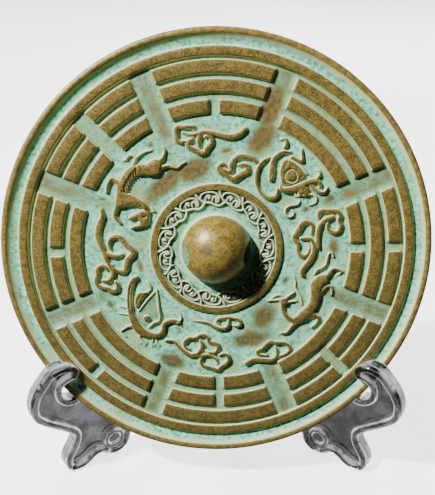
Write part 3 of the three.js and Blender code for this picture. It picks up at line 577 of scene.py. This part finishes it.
def evenly(count):
    """The angles of a loop of evenly spaced points."""
    return START_ANGLE + np.arange(count) * 360 / count


# The mirror's section as radius and height, from the flat back round the rim to the flat ring inside it.
RIM_SECTION = (
    (8, -BACK_DEPTH), (24, -BACK_DEPTH), (42, -BACK_DEPTH), (58, -BACK_DEPTH), (68, -BACK_DEPTH),
    (72.6, -BACK_DEPTH), (73.6, -2.15), (74.3, -1.95), (74.8, -1.5), (DISC_RADIUS, -0.9),
    (DISC_RADIUS, -0.3), (DISC_RADIUS, 0.2), (74.92, 0.7), (74.72, 1.12), (74.38, 1.44),
    (73.9, RIM_HEIGHT), (73.4, 1.59), (73.0, 1.46), (72.65, 1.22), (72.3, 0.92), (71.9, 0.64),
    (71.4, 0.38), (70.9, 0.18), (70.3, 0.02), (69.7, -0.07), (69.2, -0.02), (68.98, 0.2), (68.8, 0.62),
    (68.6, 0.9), (68.3, 1.04), (67.9, 1.08), (66.2, 1.08), (65.9, 1.0), (65.66, 0.8), (65.45, 0.35),
    (65.2, 0.03), (64.98, 0.0))

skin = Skin()
skin.loop(RIM_SECTION[0][0], evenly(60), RIM_SECTION[0][1])
skin.cap(-BACK_DEPTH, closes=False)
for radius, height in RIM_SECTION[1:]:
    skin.loop(radius, evenly(ROUND_CORNERS), height)

# The bars of the eight trigrams. A spoke of even width parts them, and a broken row has a gap of even
# width, so the loops here follow both: their points keep one distance from a spoke or from a gap.
ROWS = ((46.9, 51.0), (53.75, 57.8), (60.0, 64.1))
TRIGRAMS = ("bss", "sss", "bsb", "sbb", "bbs", "ssb", "sbs", "bbb")
SPOKE_HALF = 4.1
SPOKE_MIDDLE_HALF = 1.8
GAP_HALF = {"plain": 1.9, "bbb": 2.95}
FOOT = 0.65
EDGE = ((FOOT, 0.0), (FOOT * 0.6, 0.2), (FOOT * 0.15, 0.78), (-0.15, 0.96), (-0.55, 1.03))


def bar_loop(skin, radius, row_level, row):
    """One loop through all eight trigrams, no higher than the row's own level at this radius."""
    angles, levels = [], []
    for index, kinds in enumerate(TRIGRAMS):
        middle = index * 45
        gap_half = GAP_HALF.get(kinds, GAP_HALF["plain"])
        half = [(START_ANGLE, 0.0), (START_ANGLE + degrees(asin(SPOKE_MIDDLE_HALF / radius)), 0.0)]
        half += [(START_ANGLE + degrees(asin((SPOKE_HALF - out) / radius)), level) for out, level in EDGE]
        gap = [(-degrees(asin((gap_half - out) / radius)), level) for out, level in reversed(EDGE)]
        start, end = half[-1][0], gap[0][0]
        half += [(start + (end - start) * step / 5, 1.0) for step in range(1, 5)]
        broken = row is not None and kinds[row] == "b"
        half += [(angle, level if broken else 1.0) for angle, level in gap]
        centre = [(0.0, 0.0 if broken else 1.0)]
        other = [(-angle, level) for angle, level in reversed(half[1:])]
        for angle, level in half + centre + other:
            angles.append(middle + angle)
            levels.append(level)
    skin.loop(radius, angles, RELIEF * np.minimum(levels, row_level))


for row in (2, 1, 0):
    inner, outer = ROWS[row]
    for out, level in EDGE:
        bar_loop(skin, outer + out, level, row)
    bar_loop(skin, (inner + outer) / 2, 1.0, row)
    for out, level in reversed(EDGE):
        bar_loop(skin, inner - out, level, row)
    if row:
        bar_loop(skin, (inner + ROWS[row - 1][1]) / 2, 0.0, row)

# The sunk field between the bars and the ring round the knob, with the animals and the clouds.
field = Field(outer=46.25, inner=23.7, rows=124, columns=1200)
carve_clouds(field)
carve_tortoise(field)
carve_dragon(field)
carve_phoenix(field)
carve_tiger(field)
field.finish(lift=1.2)
skin.add_field(field)

# The flat ring round the knob, the band of scrolls inside it, the moat at the knob's foot and the knob.
KNOB_RING_SECTION = ((23.42, 0.0), (23.2, 0.25), (23.02, 0.68), (22.8, 0.9), (22.45, 0.96), (21.3, 0.96),
                     (20.95, 0.9), (20.75, 0.6), (20.6, 0.1))
MOAT_SECTION = ((13.7, -0.04), (13.3, -0.16), (12.8, -0.2), (12.4, -0.12), (KNOB_RADIUS + 0.06, 0.15))
KNOB_STEPS = 24

for radius, height in KNOB_RING_SECTION:
    skin.loop(radius, evenly(ROUND_CORNERS), height)
band = Field(outer=20.5, inner=13.95, rows=38, columns=960)
carve_scroll_band(band)
band.finish(lift=1.25)
skin.add_field(band)
for radius, height in MOAT_SECTION:
    skin.loop(radius, evenly(ROUND_CORNERS // 2), height)
for step in range(1, KNOB_STEPS):
    rise = radians(90 * step / KNOB_STEPS)
    corners = ROUND_CORNERS // 2 if step < KNOB_STEPS - 3 else 60
    skin.loop(KNOB_RADIUS * cos(rise), evenly(corners), KNOB_HEIGHT * sin(rise))
skin.cap(KNOB_HEIGHT, closes=True)


def place_on_disc(points, turn=ORNAMENT_TURN):
    """Points in the disc's plane, in millimetres, turned with the ornament and put where the disc leans."""
    points = np.asarray(points, float)
    c, s = cos(radians(turn)), sin(radians(turn))
    x = points[:, 0] * c + points[:, 1] * s
    y = points[:, 1] * c - points[:, 0] * s
    placed = (x[:, None] * np.array(right_of_disc) + y[:, None] * np.array(up_the_disc)
              + points[:, 2:3] * np.array(out_of_disc))
    return placed / 1000 + np.array(disc_centre)


def face_out(made):
    """Turns a closed mesh the right way round, if it is inside out."""
    shape = bmesh.new()
    shape.from_mesh(made.data)
    if shape.calc_volume(signed=True) < 0:
        bmesh.ops.reverse_faces(shape, faces=shape.faces)
        shape.to_mesh(made.data)
    shape.free()


def settle(made, *modifiers):
    """Adds modifiers by kind and settings, and turns the result into the object's own plain mesh."""
    for kind, settings in modifiers:
        modifier = made.modifiers.new(kind.lower(), kind)
        for name, value in settings.items():
            setattr(modifier, name, value)
    bpy.context.view_layer.update()
    result = bpy.data.meshes.new_from_object(made.evaluated_get(bpy.context.evaluated_depsgraph_get()))
    made.modifiers.clear()
    made.data = result


mirror = new_object("bronze_mirror", place_on_disc(skin.points), skin.faces)
face_out(mirror)
carved = mirror.vertex_groups.new(name="carved")
carved.add(skin.carved, 1.0, "REPLACE")
triangles = sum(len(face) - 2 for face in skin.faces)
settle(mirror, ("DECIMATE", {"ratio": MIRROR_TRIANGLES / triangles, "vertex_group": "carved"}))
mirror.vertex_groups.clear()


def tube(name, loops):
    """A closed solid in the disc's frame, through loops that all have the same number of points."""
    corners = len(loops[0])
    faces = []
    for row in range(len(loops) - 1):
        for corner in range(corners):
            a = row * corners + corner
            b = row * corners + (corner + 1) % corners
            faces.append((a, b, b + corners, a + corners))
    faces.append(tuple(reversed(range(corners))))
    faces.append(tuple(range((len(loops) - 1) * corners, len(loops) * corners)))
    made = new_object(name, place_on_disc([point for loop in loops for point in loop], 0), faces)
    face_out(made)
    return made


def cord_hole():
    """The arched way for a cord through the foot of the knob, a little wider at its mouths."""
    corners = 20
    loops = []
    for x, flare in ((-15, 1.3), (-11.2, 1.12), (-10.2, 1.04), (-9.0, 1.0),
                     (9.0, 1.0), (10.2, 1.04), (11.2, 1.12), (15, 1.3)):
        loop = []
        for corner in range(corners):
            angle = pi * corner / (corners - 1)
            across = HOLE_WIDTH / 2 * cos(angle) * flare + HOLE_SIDESTEP
            arch = (HOLE_HEIGHT * flare - HOLE_FLOOR) * sin(angle)**0.8
            loop.append((x, across, HOLE_FLOOR + arch))
        loops.append(loop)
    return tube("cord_hole", loops)


hole = cord_hole()
settle(mirror, ("BOOLEAN", {"operation": "DIFFERENCE", "object": hole, "solver": "MANIFOLD"}))
bpy.data.objects.remove(hole)
mirror.data.shade_smooth()
mirror.data.set_sharp_from_angle(angle=radians(42))


class Wire:
    """A value on its way through a node tree, so that masks can be written as sums and products."""

    def __init__(self, tree, socket):
        self.tree = tree
        self.socket = socket

    def node(self, kind, settings, sockets, output=0):
        """Adds a node with these settings and socket values, and gives one of its outputs."""
        made = self.tree.nodes.new(kind)
        for name, value in settings.items():
            setattr(made, name, value)
        for name, value in sockets.items():
            if isinstance(value, Wire):
                self.tree.links.new(value.socket, made.inputs[name])
            else:
                made.inputs[name].default_value = value
        return Wire(self.tree, made.outputs[output])

    def math(self, operation, *values):
        return self.node("ShaderNodeMath", {"operation": operation}, dict(enumerate(values)))

    def __add__(self, other):
        return self.math("ADD", self, other)

    def __sub__(self, other):
        return self.math("SUBTRACT", self, other)

    def __rsub__(self, other):
        return self.math("SUBTRACT", other, self)

    def __mul__(self, other):
        return self.math("MULTIPLY", self, other)

    def __truediv__(self, other):
        return self.math("DIVIDE", self, other)

    def __pow__(self, other):
        return self.math("POWER", self, other)

    __radd__ = __add__
    __rmul__ = __mul__

    def both(self, other):
        """The greater of two masks."""
        return self.math("MAXIMUM", self, other)

    def step(self, low, high):
        """Nought below low, one above high, and a soft slope between."""
        return self.node("ShaderNodeMapRange", {"interpolation_type": "SMOOTHSTEP"},
                         {"Value": self, "From Min": low, "From Max": high})

    def tint(self, plain, changed):
        """The first colour where this mask is nought and the second where it is one."""
        return self.node("ShaderNodeMix", {"data_type": "RGBA"}, {0: self, 6: plain, 7: changed}, 2)

    def noise(self, scale, detail, roughness):
        """Soft lumps at this place, about one half on the whole."""
        return self.node("ShaderNodeTexNoise", {},
                         {"Vector": self, "Scale": scale, "Detail": detail, "Roughness": roughness})


def new_material(name):
    """A material with its shader, and a Wire from which the first nodes are added."""
    material = bpy.data.materials.new(name)
    material.use_nodes = True
    shader = material.node_tree.nodes["Principled BSDF"]
    return material, shader, Wire(material.node_tree, None)


def colour(red, green, blue):
    """A colour given as it looks on a screen, from 0 to 255, as the shader's own light values."""
    shares = [value / 255 for value in (red, green, blue)]
    return (*[share / 12.92 if share <= 0.04 else ((share + 0.055) / 1.055)**2.4 for share in shares], 1.0)


# The colours of the rubbed bronze.
BROWN_DARK = colour(104, 89, 34)
BROWN_LIGHT = colour(150, 129, 60)
BROWN_GLINT = colour(190, 164, 92)
BROWN_PIT = colour(66, 50, 18)
# Painted shade: a dark brown laid over the rubbed bronze, more of it towards the bottom of the disc.
PAINTED_SHADE_BROWN = colour(56, 56, 28)
PATCH_DARK = colour(104, 88, 42)
PATCH_LIGHT = colour(142, 114, 54)
RIM_DARK = colour(136, 114, 50)
RIM_LIGHT = colour(186, 158, 78)
KNOB_DARK = colour(104, 86, 26)
KNOB_LIGHT = colour(188, 160, 74)
KNOB_SMUDGE = colour(116, 94, 74)

# The colours of the patina, and of the painted highlights and painted shade laid over it.
GREEN_DEEP = colour(104, 190, 150)
GREEN_PALE = colour(156, 255, 210)
GREEN_BLOOM = colour(222, 255, 230)
GREEN_PIT = colour(80, 100, 62)
MOSS = colour(172, 196, 122)
DUST = colour(132, 126, 88)
OLIVE = colour(138, 150, 92)
WALL_CREAM_AND_HIGHLIGHT = colour(230, 234, 176)
CREST_PAINTED_HIGHLIGHT = colour(228, 228, 170)
FOOT_PAINTED_SHADE = colour(104, 102, 66)
BAND_PAINTED_SHADE = colour(78, 96, 72)
BAND_PAINTED_HIGHLIGHT = colour(210, 218, 178)
MOAT_PALE = colour(206, 240, 212)

# Where rubbing has taken the green off the sunk ground: [degrees, radius], half length, half width,
# slant in degrees and faintness.
WORN = (((-14, 28.5), 6.0, 3.6, 10, 0), ((23, 41.5), 6.5, 3.6, 75, 0), ((22, 52), 9.0, 3.2, 90, 0),
        ((323, 28.6), 9.0, 2.9, 4, 0), ((146, 29.5), 5.0, 4.2, 20, 0.1), ((160, 35), 7.5, 3.0, -12, 0.1),
        ((202, 44), 4.2, 2.6, 0, 0), ((66.5, 34), 1.6, 2.4, 0, 0.5), ((66.5, 43), 2.2, 3.4, 0, 0.4),
        ((90, 41), 3.8, 2.6, 0, 0.4), ((258, 27.4), 3.0, 1.2, 0, 0.4), ((329, 42.4), 1.6, 1.6, 0, 0.5),
        ((295, 43), 1.2, 3.0, 0, 0.5), ((116, 26.8), 2.4, 1.6, 0, 0.5), ((243, 42.5), 2.6, 1.6, 0, 0.4),
        ((7, 34.4), 3.4, 1.2, 20, 0.4))


def bronze():
    """Cast bronze: rubbed brown on whatever stands proud, pale green patina in the hollows.
    Over both lie painted shade and painted highlights.
    """
    material, shader, start = new_material("rubbed_and_patinated_bronze")
    where = start.node("ShaderNodeTexCoord", {}, {}, 3)
    plane = start.node("ShaderNodeMapping", {"vector_type": "TEXTURE"},
                       {"Vector": where, "Location": disc_centre, "Rotation": (pi / 2 - LEAN, 0, 0),
                        "Scale": (0.001, 0.001, 0.001)})
    split = start.node("ShaderNodeSeparateXYZ", {}, {"Vector": plane})
    across, upward, height = [Wire(split.tree, split.socket.node.outputs[i]) for i in range(3)]
    radius = (across * across + upward * upward)**0.5
    normal = start.node("ShaderNodeNewGeometry", {}, {}, 1)
    facing = start.node("ShaderNodeVectorMath", {"operation": "DOT_PRODUCT"},
                        {0: normal, 1: out_of_disc}, 1)

    # Noises from fine to broad, with so many lumps a millimetre.
    speckle = plane.noise(1.7, 3.0, 0.7)
    grain = plane.noise(1.15, 4.0, 0.65)
    mottle = plane.noise(0.6, 3.0, 0.6)
    blotch = plane.noise(0.3, 5.0, 0.65)
    cloud = plane.noise(0.09, 3.0, 0.5)

    # The bare patches on the sunk ground.
    worn = None
    for (angle, away), length, width, slant, faintness in WORN:
        x, y = flat_point((angle + ORNAMENT_TURN, away))
        heading = radians(slant - angle - ORNAMENT_TURN)
        patch_place = {"Vector": plane, "Location": (float(x), float(y), 0), "Rotation": (0, 0, heading),
                       "Scale": (length, width, 1000)}
        local = start.node("ShaderNodeMapping", {"vector_type": "TEXTURE"}, patch_place)
        outside = start.node("ShaderNodeVectorMath", {"operation": "LENGTH"}, {0: local}, 1) + faintness
        worn = outside if worn is None else worn.math("MINIMUM", worn, outside)
    worn = (1.25 - worn + (blotch - 0.5) * 1.5 + (grain - 0.5) * 0.5).step(-0.3, 0.65)

    # The faint brown along the spokes between the trigrams.
    turn = across.math("ARCTAN2", across, upward) * (180 / pi) - ORNAMENT_TURN
    sector = turn.math("PINGPONG", turn + 22.5, 22.5)
    from_spoke = radius * (sector * (pi / 180)).math("SINE", sector * (pi / 180))
    spoke = (2.6 - from_spoke).step(-0.6, 1.8) * radius.step(37, 44) * (66 - radius).step(0, 2)
    spoke = spoke * (blotch * 0.9 + cloud * 0.5 + grain * 0.5 - 0.7).step(0.0, 0.38) * 0.85

    # The places of the casting, by radius and height in millimetres.
    proud = (height + (mottle - 0.5) * 0.3 + (blotch - 0.5) * 0.2).step(0.66, 0.9)
    rim = (radius + (mottle - 0.5) * 0.8).step(72.4, 73.0)
    in_cove = radius.step(68.7, 69.0) * (72.9 - radius).step(0, 0.3)
    in_band = radius.step(13.4, 13.9) * (20.7 - radius).step(0, 0.2)
    in_moat = radius.step(11.85, 12.1) * (13.9 - radius).step(0, 1.2)
    dome = (radius / KNOB_RADIUS)**2 + (height / KNOB_HEIGHT)**2
    in_hole = (0.955 - dome).step(0, 0.02) * (12.5 - radius).step(0, 0.3) * height.step(-0.6, -0.3)
    behind = (-0.6 - height).step(0, 0.3)
    knob = (12.0 - radius).step(0, 0.15) * (1 - in_hole) * (1 - behind)
    bare_back = behind * (1 - (blotch * 0.35 + cloud * 0.65).step(0.46, 0.66) * 0.45)
    patch = worn.both(spoke) * (1 - proud)
    metal = proud.both(patch * 0.95) * (1 - in_cove) * (1 - in_moat) * (1 - in_band)
    metal = metal.both(rim * (1 - behind)).both(knob).both(bare_back)

    # The rubbed bronze.
    lighter = (grain * 0.25 + mottle * 0.4 + blotch * 0.35).step(0.38, 0.62)
    brown = lighter.tint(BROWN_DARK, BROWN_LIGHT)
    brown = speckle.step(0.54, 0.7).tint(brown, BROWN_GLINT)
    brown = (1 - speckle).step(0.52, 0.68).tint(brown, BROWN_PIT)
    patch_brown = mottle.step(0.38, 0.62).tint(PATCH_DARK, PATCH_LIGHT)
    brown = patch.tint(brown, patch_brown)
    rim_brown = mottle.step(0.4, 0.62).tint(RIM_DARK, RIM_LIGHT)
    brown = (rim * 0.6).tint(brown, rim_brown)
    knob_brown = (grain * 0.5 + blotch * 0.5).step(0.36, 0.62).tint(KNOB_DARK, KNOB_LIGHT)
    brown = (knob * 0.8).tint(brown, knob_brown)
    smudge = 1 - ((across + 3.2)**2 + (upward - 1.9)**2) / 5
    smudge = (smudge + (mottle - 0.5) * 3).step(-0.1, 0.7) * knob * height.step(5, 6)
    brown = (smudge * 0.8).tint(brown, KNOB_SMUDGE)
    # Painted shade: the brown is darkened a little all over, and more towards the bottom of the disc.
    lower_half_shade = 1 - upward.step(-40, 12)
    brown = (0.13 + lower_half_shade * 0.3).tint(brown, PAINTED_SHADE_BROWN)

    # The patina on the sunk ground.
    green = (blotch * 0.5 + mottle * 0.5).step(0.36, 0.64).tint(GREEN_DEEP, GREEN_PALE)
    green = (speckle * 0.6 + mottle * 0.4).step(0.52, 0.64).tint(green, GREEN_BLOOM)
    green = (cloud * 0.5 + mottle * 0.5).step(0.5, 0.64).tint(green, MOSS)
    green = (1 - speckle * 0.6 - mottle * 0.4).step(0.52, 0.66).tint(green, GREEN_PIT)
    dusty = (blotch * 0.6 + cloud * 0.4).step(0.48, 0.64) * (46 - radius).step(0, 3)
    green = (dusty * 0.28).tint(green, DUST)
    among_bars = radius.step(45, 50) * (1 - in_cove) * (blotch * 0.7 + mottle * 0.5 - 0.1)
    green = among_bars.tint(green, OLIVE)

    # The patina on walls, at their feet, on low crests, in the band of scrolls and in the moat. Over it lie
    # a painted highlight on walls and low crests, painted shade at the walls' feet, and both in the band.
    # Pale patina on every wall, pushed towards cream as a painted highlight for the light on the walls.
    wall = (1 - facing).step(0.1, 0.4) * (0.62 - in_cove * 0.4)
    green = wall.tint(green, WALL_CREAM_AND_HIGHLIGHT)
    # Painted shade: a dark olive line at the foot of every wall, in the crease where shade falls.
    foot = height.step(0.02, 0.1) * (1 - height.step(0.22, 0.5)) * (1 - in_cove)
    green = (foot * 0.55).tint(green, FOOT_PAINTED_SHADE)
    # Painted highlight: cream on the tops of low relief, such as thin strokes.
    crest_highlight = height.step(0.3, 0.6) * (1 - in_band)
    green = (crest_highlight * 0.65).tint(green, CREST_PAINTED_HIGHLIGHT)
    # Painted shade in the hollows of the band of scrolls, and a painted highlight on its ridges.
    band_shade_and_highlight = height.step(0.2, 0.6).tint(BAND_PAINTED_SHADE, BAND_PAINTED_HIGHLIGHT)
    green = (in_band * 0.85 * radius.both(height * 30).step(14.6, 16.0)).tint(green, band_shade_and_highlight)
    green = (in_moat * 0.5).tint(green, MOAT_PALE)

    finished = metal.tint(green, brown)
    start.tree.links.new(finished.socket, shader.inputs["Base Color"])
    start.tree.links.new((metal * 0.15).socket, shader.inputs["Metallic"])
    rough = 0.88 - metal * (0.42 - (grain - 0.5) * 0.3) - knob * 0.1
    start.tree.links.new(rough.socket, shader.inputs["Roughness"])
    pits = grain * 0.5 + speckle * 0.5 + blotch * 0.4 + metal * 0.06
    bump = start.node("ShaderNodeBump", {}, {"Strength": 0.75, "Distance": 0.00012, "Height": pits})
    start.tree.links.new(bump.socket, shader.inputs["Normal"])
    return material


mirror.data.materials.clear()
mirror.data.materials.append(bronze())
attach(mirror, "root")
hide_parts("mirror")

# The display legs: two clear moulded plastic legs, each the other's mirror image, that stand askew on the
# table. A thick rounded flange runs round the edge of a thin web. The mirror lies in the hook at the front
# of each leg and leans on the long arm behind. They hold it by its weight alone.
LEG_AZIMUTH = radians(34)
RIM_CONTACT = radians(46.5)
FLANGE_WIDTH = 7.0
FLANGE_DEPTH = 2.5
FLANGE_ROUNDING = 1.0
WEB_THICKNESS = 2.4
SEAT_CORNERS = 720
EDGE_SPACING = 0.6
HUB_CENTRE = (16.5, 7.2)
HUB_RADIUS = 6.8
BOSS_RADIUS = 3.3
BOSS_WIDTH = 1.5
BOSS_SINK = 1.0
BOSS_ROUNDING = 0.6
WEB_DARK = (0.022, 0.022, 0.0235, 1)
WEB_LIGHT = (0.05, 0.05, 0.053, 1)
EDGE_PAINTED_HIGHLIGHT = (0.8, 0.8, 0.8, 1)
MOULD_FINENESS = 0.36
SIZES = {"Flange width": FLANGE_WIDTH, "Flange depth": FLANGE_DEPTH, "Flange rounding": FLANGE_ROUNDING,
         "Web thickness": WEB_THICKNESS, "Boss radius": BOSS_RADIUS, "Boss width": BOSS_WIDTH}

# The leg's edge, in millimetres back from the rim's contact and up from the table. Each run is smooth.
OUTLINE = (
    ((3.3, 41.0), (4.6, 44.2), (0.6, 47.2), (-5.2, 46.8), (-9.6, 42.9), (-12.9, 38.6), (-14.3, 34.0),
     (-13.9, 29.4), (-11.2, 26.0), (-5.2, 21.2), (-0.6, 17.4), (0.6, 15.0), (-0.6, 11.6), (-3.4, 7.2),
     (-4.0, 3.4), (-2.6, 0.8), (-0.6, 0)),
    ((2.8, 0), (5.6, 1.2), (8.4, 3.2), (11.0, 3.4)),
    "hub",
    ((25.0, 11.6), (31, 14.6), (39, 13.8), (46, 8.8), (50.4, 3.0), (53.6, 0)),
    ((60.2, 0), (61.8, 1.4), (61.6, 4.6), (57.4, 11.0), (50, 19.6), (41, 27.6), (34, 36), (30.8, 46),
     (31.0, 58), (32.6, 68), (31.4, 73.2), (27.4, 75.4), (23.6, 73.0)),
    ((5.4, 35.2), (3.6, 33.2), (0.8, 32.4), (-2.0, 34.4), (-2.6, 37.6), (-1.2, 40.0), (3.3, 41.0)))


def leg_outline(inset):
    """The leg's edge as an even row of points, moved inwards by the inset."""
    corners = []
    for run in OUTLINE:
        if run == "hub":
            for turn in range(215, 361, 16):
                spoke = HUB_RADIUS * np.array([cos(radians(turn)), sin(radians(turn))])
                corners.append(spoke + HUB_CENTRE)
        else:
            corners.extend(spline(np.array(run, float)))
    corners = np.array(corners)
    corners = corners[np.hypot(*(corners - np.roll(corners, 1, 0)).T) > 0.05]
    closed = np.vstack([corners, corners[:1]])
    run = np.concatenate([[0], np.cumsum(np.hypot(*np.diff(closed, axis=0).T))])
    even = np.linspace(0, run[-1], int(run[-1] / EDGE_SPACING), endpoint=False)
    edge = np.stack([np.interp(even, run, closed[:, 0]), np.interp(even, run, closed[:, 1])], 1)
    for _ in range(2):
        edge = (np.roll(edge, 1, 0) + 2 * edge + np.roll(edge, -1, 0)) / 4
    along = np.roll(edge, -1, 0) - np.roll(edge, 1, 0)
    inwards = np.stack([-along[:, 1], along[:, 0]], 1) / np.hypot(*along.T)[:, None]
    area = (edge[:, 0] * np.roll(edge[:, 1], -1) - edge[:, 1] * np.roll(edge[:, 0], -1)).sum()
    return edge + inwards * inset * np.sign(area)


def clear_plastic():
    """Clear moulded plastic with a faint grey cast, smooth, with the slightest ripple from the mould.
    Painted light: its edges turn pale, and its edges and upward faces glow.
    """
    material, shader, start = new_material("clear_moulded_plastic")
    shader.inputs["Roughness"].default_value = 0.04
    shader.inputs["IOR"].default_value = 1.49
    shader.inputs["Transmission Weight"].default_value = 1.0
    shader.inputs["Emission Strength"].default_value = 1.0
    where = start.node("ShaderNodeTexCoord", {}, {}, 3)
    ripple = where.noise(160.0, 2.0, 0.5)
    turned = start.node("ShaderNodeLayerWeight", {}, {"Blend": 0.5}, 1)
    tone_and_edge_highlight = ripple.step(0.4, 0.6).tint(WEB_DARK, WEB_LIGHT)
    # Painted highlight: the base colour turns pale where the surface is seen edge on.
    tone_and_edge_highlight = turned.step(0.3, 0.55).tint(tone_and_edge_highlight, EDGE_PAINTED_HIGHLIGHT)
    start.tree.links.new(tone_and_edge_highlight.socket, shader.inputs["Base Color"])
    normal = start.node("ShaderNodeNewGeometry", {}, {}, 1)
    upward = start.node("ShaderNodeSeparateXYZ", {}, {"Vector": normal}, 2)
    # Painted light: surfaces seen edge on and faces turned upwards glow white, though the plastic is no
    # lamp.
    painted_light = turned.step(0.5, 0.95) * 0.5 + upward.step(0.3, 0.85) * ripple.step(0.38, 0.62) * 0.45
    painted_glow = painted_light.tint((0.0, 0.0, 0.0, 1), (1.0, 1.0, 1.0, 1))
    start.tree.links.new(painted_glow.socket, shader.inputs["Emission Color"])
    bump = start.node("ShaderNodeBump", {}, {"Strength": 0.25, "Distance": 0.0006, "Height": ripple})
    start.tree.links.new(bump.socket, shader.inputs["Normal"])
    return material


def moulding_tree(material):
    """Sweeps the flange along the outline, fills it with the web and sets the boss's ring on the hub."""
    tree = bpy.data.node_groups.new("moulded_leg", "GeometryNodeTree")
    tree.interface.new_socket("Outline", in_out="INPUT", socket_type="NodeSocketGeometry")
    for name in SIZES:
        tree.interface.new_socket(name, in_out="INPUT", socket_type="NodeSocketFloat")
    tree.interface.new_socket("Leg", in_out="OUTPUT", socket_type="NodeSocketGeometry")
    sizes = tree.nodes.new("NodeGroupInput")
    outline, width, depth, rounding, web, boss, boss_width = [
        Wire(tree, socket) for socket in sizes.outputs[:7]]
    edge = outline.node("GeometryNodeMeshToCurve", {}, {"Mesh": outline})
    edge = edge.node("GeometryNodeSetCurveNormal", {"mode": "Z_UP"}, {"Curve": edge})
    section = edge.node("GeometryNodeCurvePrimitiveQuadrilateral", {}, {"Width": depth, "Height": width})
    section = section.node("GeometryNodeFilletCurve", {"mode": "POLY"},
                           {"Curve": section, "Count": 5, "Radius": rounding})
    flange = edge.node("GeometryNodeCurveToMesh", {}, {"Curve": edge, "Profile Curve": section})
    sheet = edge.node("GeometryNodeFillCurve", {"mode": "NGONS"}, {"Curve": edge})
    low = sheet.node("GeometryNodeTransform", {},
                     {"Geometry": sheet, "Translation": (0, 0, -WEB_THICKNESS / 2)})
    under = low.node("GeometryNodeFlipFaces", {}, {"Mesh": low})
    over = low.node("GeometryNodeExtrudeMesh", {},
                    {"Mesh": low, "Offset": (0, 0, 1), "Offset Scale": web, "Individual": False})
    ring = edge.node("GeometryNodeCurvePrimitiveCircle", {}, {"Radius": boss})
    bead = edge.node("GeometryNodeCurvePrimitiveQuadrilateral", {},
                     {"Width": boss_width, "Height": width - BOSS_SINK})
    bead = bead.node("GeometryNodeFilletCurve", {"mode": "POLY"},
                     {"Curve": bead, "Count": 4, "Radius": BOSS_ROUNDING})
    ring = edge.node("GeometryNodeCurveToMesh", {}, {"Curve": ring, "Profile Curve": bead})
    ring = ring.node("GeometryNodeTransform", {}, {"Geometry": ring, "Translation": (*HUB_CENTRE, 0)})
    joined = tree.nodes.new("GeometryNodeJoinGeometry")
    for part in (ring, over, under, flange):
        tree.links.new(part.socket, joined.inputs[0])
    whole = Wire(tree, joined.outputs[0])
    whole = whole.node("GeometryNodeMergeByDistance", {}, {"Geometry": whole, "Distance": 0.001})
    whole = whole.node("GeometryNodeRealizeInstances", {}, {"Geometry": whole})
    whole = whole.node("GeometryNodeSetMaterial", {}, {"Geometry": whole, "Material": material})
    tree.links.new(whole.socket, tree.nodes.new("NodeGroupOutput").inputs[0])
    return tree


def seat_room():
    """The room that the mirror's edge needs in a leg: its own section with a little clearance."""
    section = ((74.0, -2.5), (75.0, -1.6), (75.3, -0.9), (75.3, 0.8), (75.0, 1.4), (74.5, 1.8),
               (73.9, 1.95), (73.2, 1.9), (72.4, 1.5), (71.4, 0.9), (70.0, 0.6))
    turns = [2 * pi * corner / SEAT_CORNERS for corner in range(SEAT_CORNERS)]
    return tube("seat_room", [[(radius * sin(turn), radius * cos(turn), height) for turn in turns]
                              for radius, height in section])


def keep_largest(made):
    """Removes the crumbs that a cut left beside the piece itself."""
    shape = bmesh.new()
    shape.from_mesh(made.data)
    seen, parts = set(), []
    for first in shape.verts:
        if first not in seen:
            seen.add(first)
            part = [first]
            for vertex in part:
                others = {edge.other_vert(vertex) for edge in vertex.link_edges} - seen
                seen |= others
                part.extend(others)
            parts.append(part)
    crumbs = [vertex for part in sorted(parts, key=len)[:-1] for vertex in part]
    bmesh.ops.delete(shape, geom=crumbs, context="VERTS")
    shape.to_mesh(made.data)
    shape.free()


plastic = clear_plastic()
moulding = moulding_tree(plastic)
contact = Vector((-DISC_RADIUS * sin(RIM_CONTACT), -DISC_RADIUS * cos(RIM_CONTACT) * sin(LEAN), 0)) / 1000
back_along = Vector((cos(LEG_AZIMUTH), sin(LEG_AZIMUTH), 0))
across_leg = Vector((sin(LEG_AZIMUTH), -cos(LEG_AZIMUTH), 0))
room_shape = seat_room()
for node, hand in (("display_leg_left", 1), ("display_leg_right", -1)):
    edge = leg_outline(FLANGE_DEPTH / 2)
    mesh = bpy.data.meshes.new("clear_" + node.removeprefix("display_"))
    mesh.from_pydata([(s, z, 0) for s, z in edge], [(i, (i + 1) % len(edge)) for i in range(len(edge))], [])
    leg = bpy.data.objects.new(mesh.name, mesh)
    bpy.context.collection.objects.link(leg)
    grower = leg.modifiers.new("moulding", "NODES")
    grower.node_group = moulding
    for socket in moulding.interface.items_tree:
        if socket.name in SIZES:
            grower[socket.identifier] = SIZES[socket.name]
    settle(leg, ("REMESH", {"mode": "VOXEL", "voxel_size": MOULD_FINENESS}),
           ("SMOOTH", {"factor": 0.5, "iterations": 8}))
    for vertex in leg.data.vertices:
        s, z, t = vertex.co
        place = contact + (back_along * s + across_leg * t) / 1000
        vertex.co = (place.x * hand, place.y + disc_centre.y, max(z, 0) / 1000)
    face_out(leg)
    settle(leg, ("BOOLEAN", {"operation": "DIFFERENCE", "object": room_shape, "solver": "MANIFOLD"}))
    keep_largest(leg)
    leg.data.shade_smooth()
    leg.data.set_sharp_from_angle(angle=radians(50))
    leg.data.materials.clear()
    leg.data.materials.append(plastic)
    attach(leg, "root")
    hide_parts(node)
bpy.data.objects.remove(room_shape)
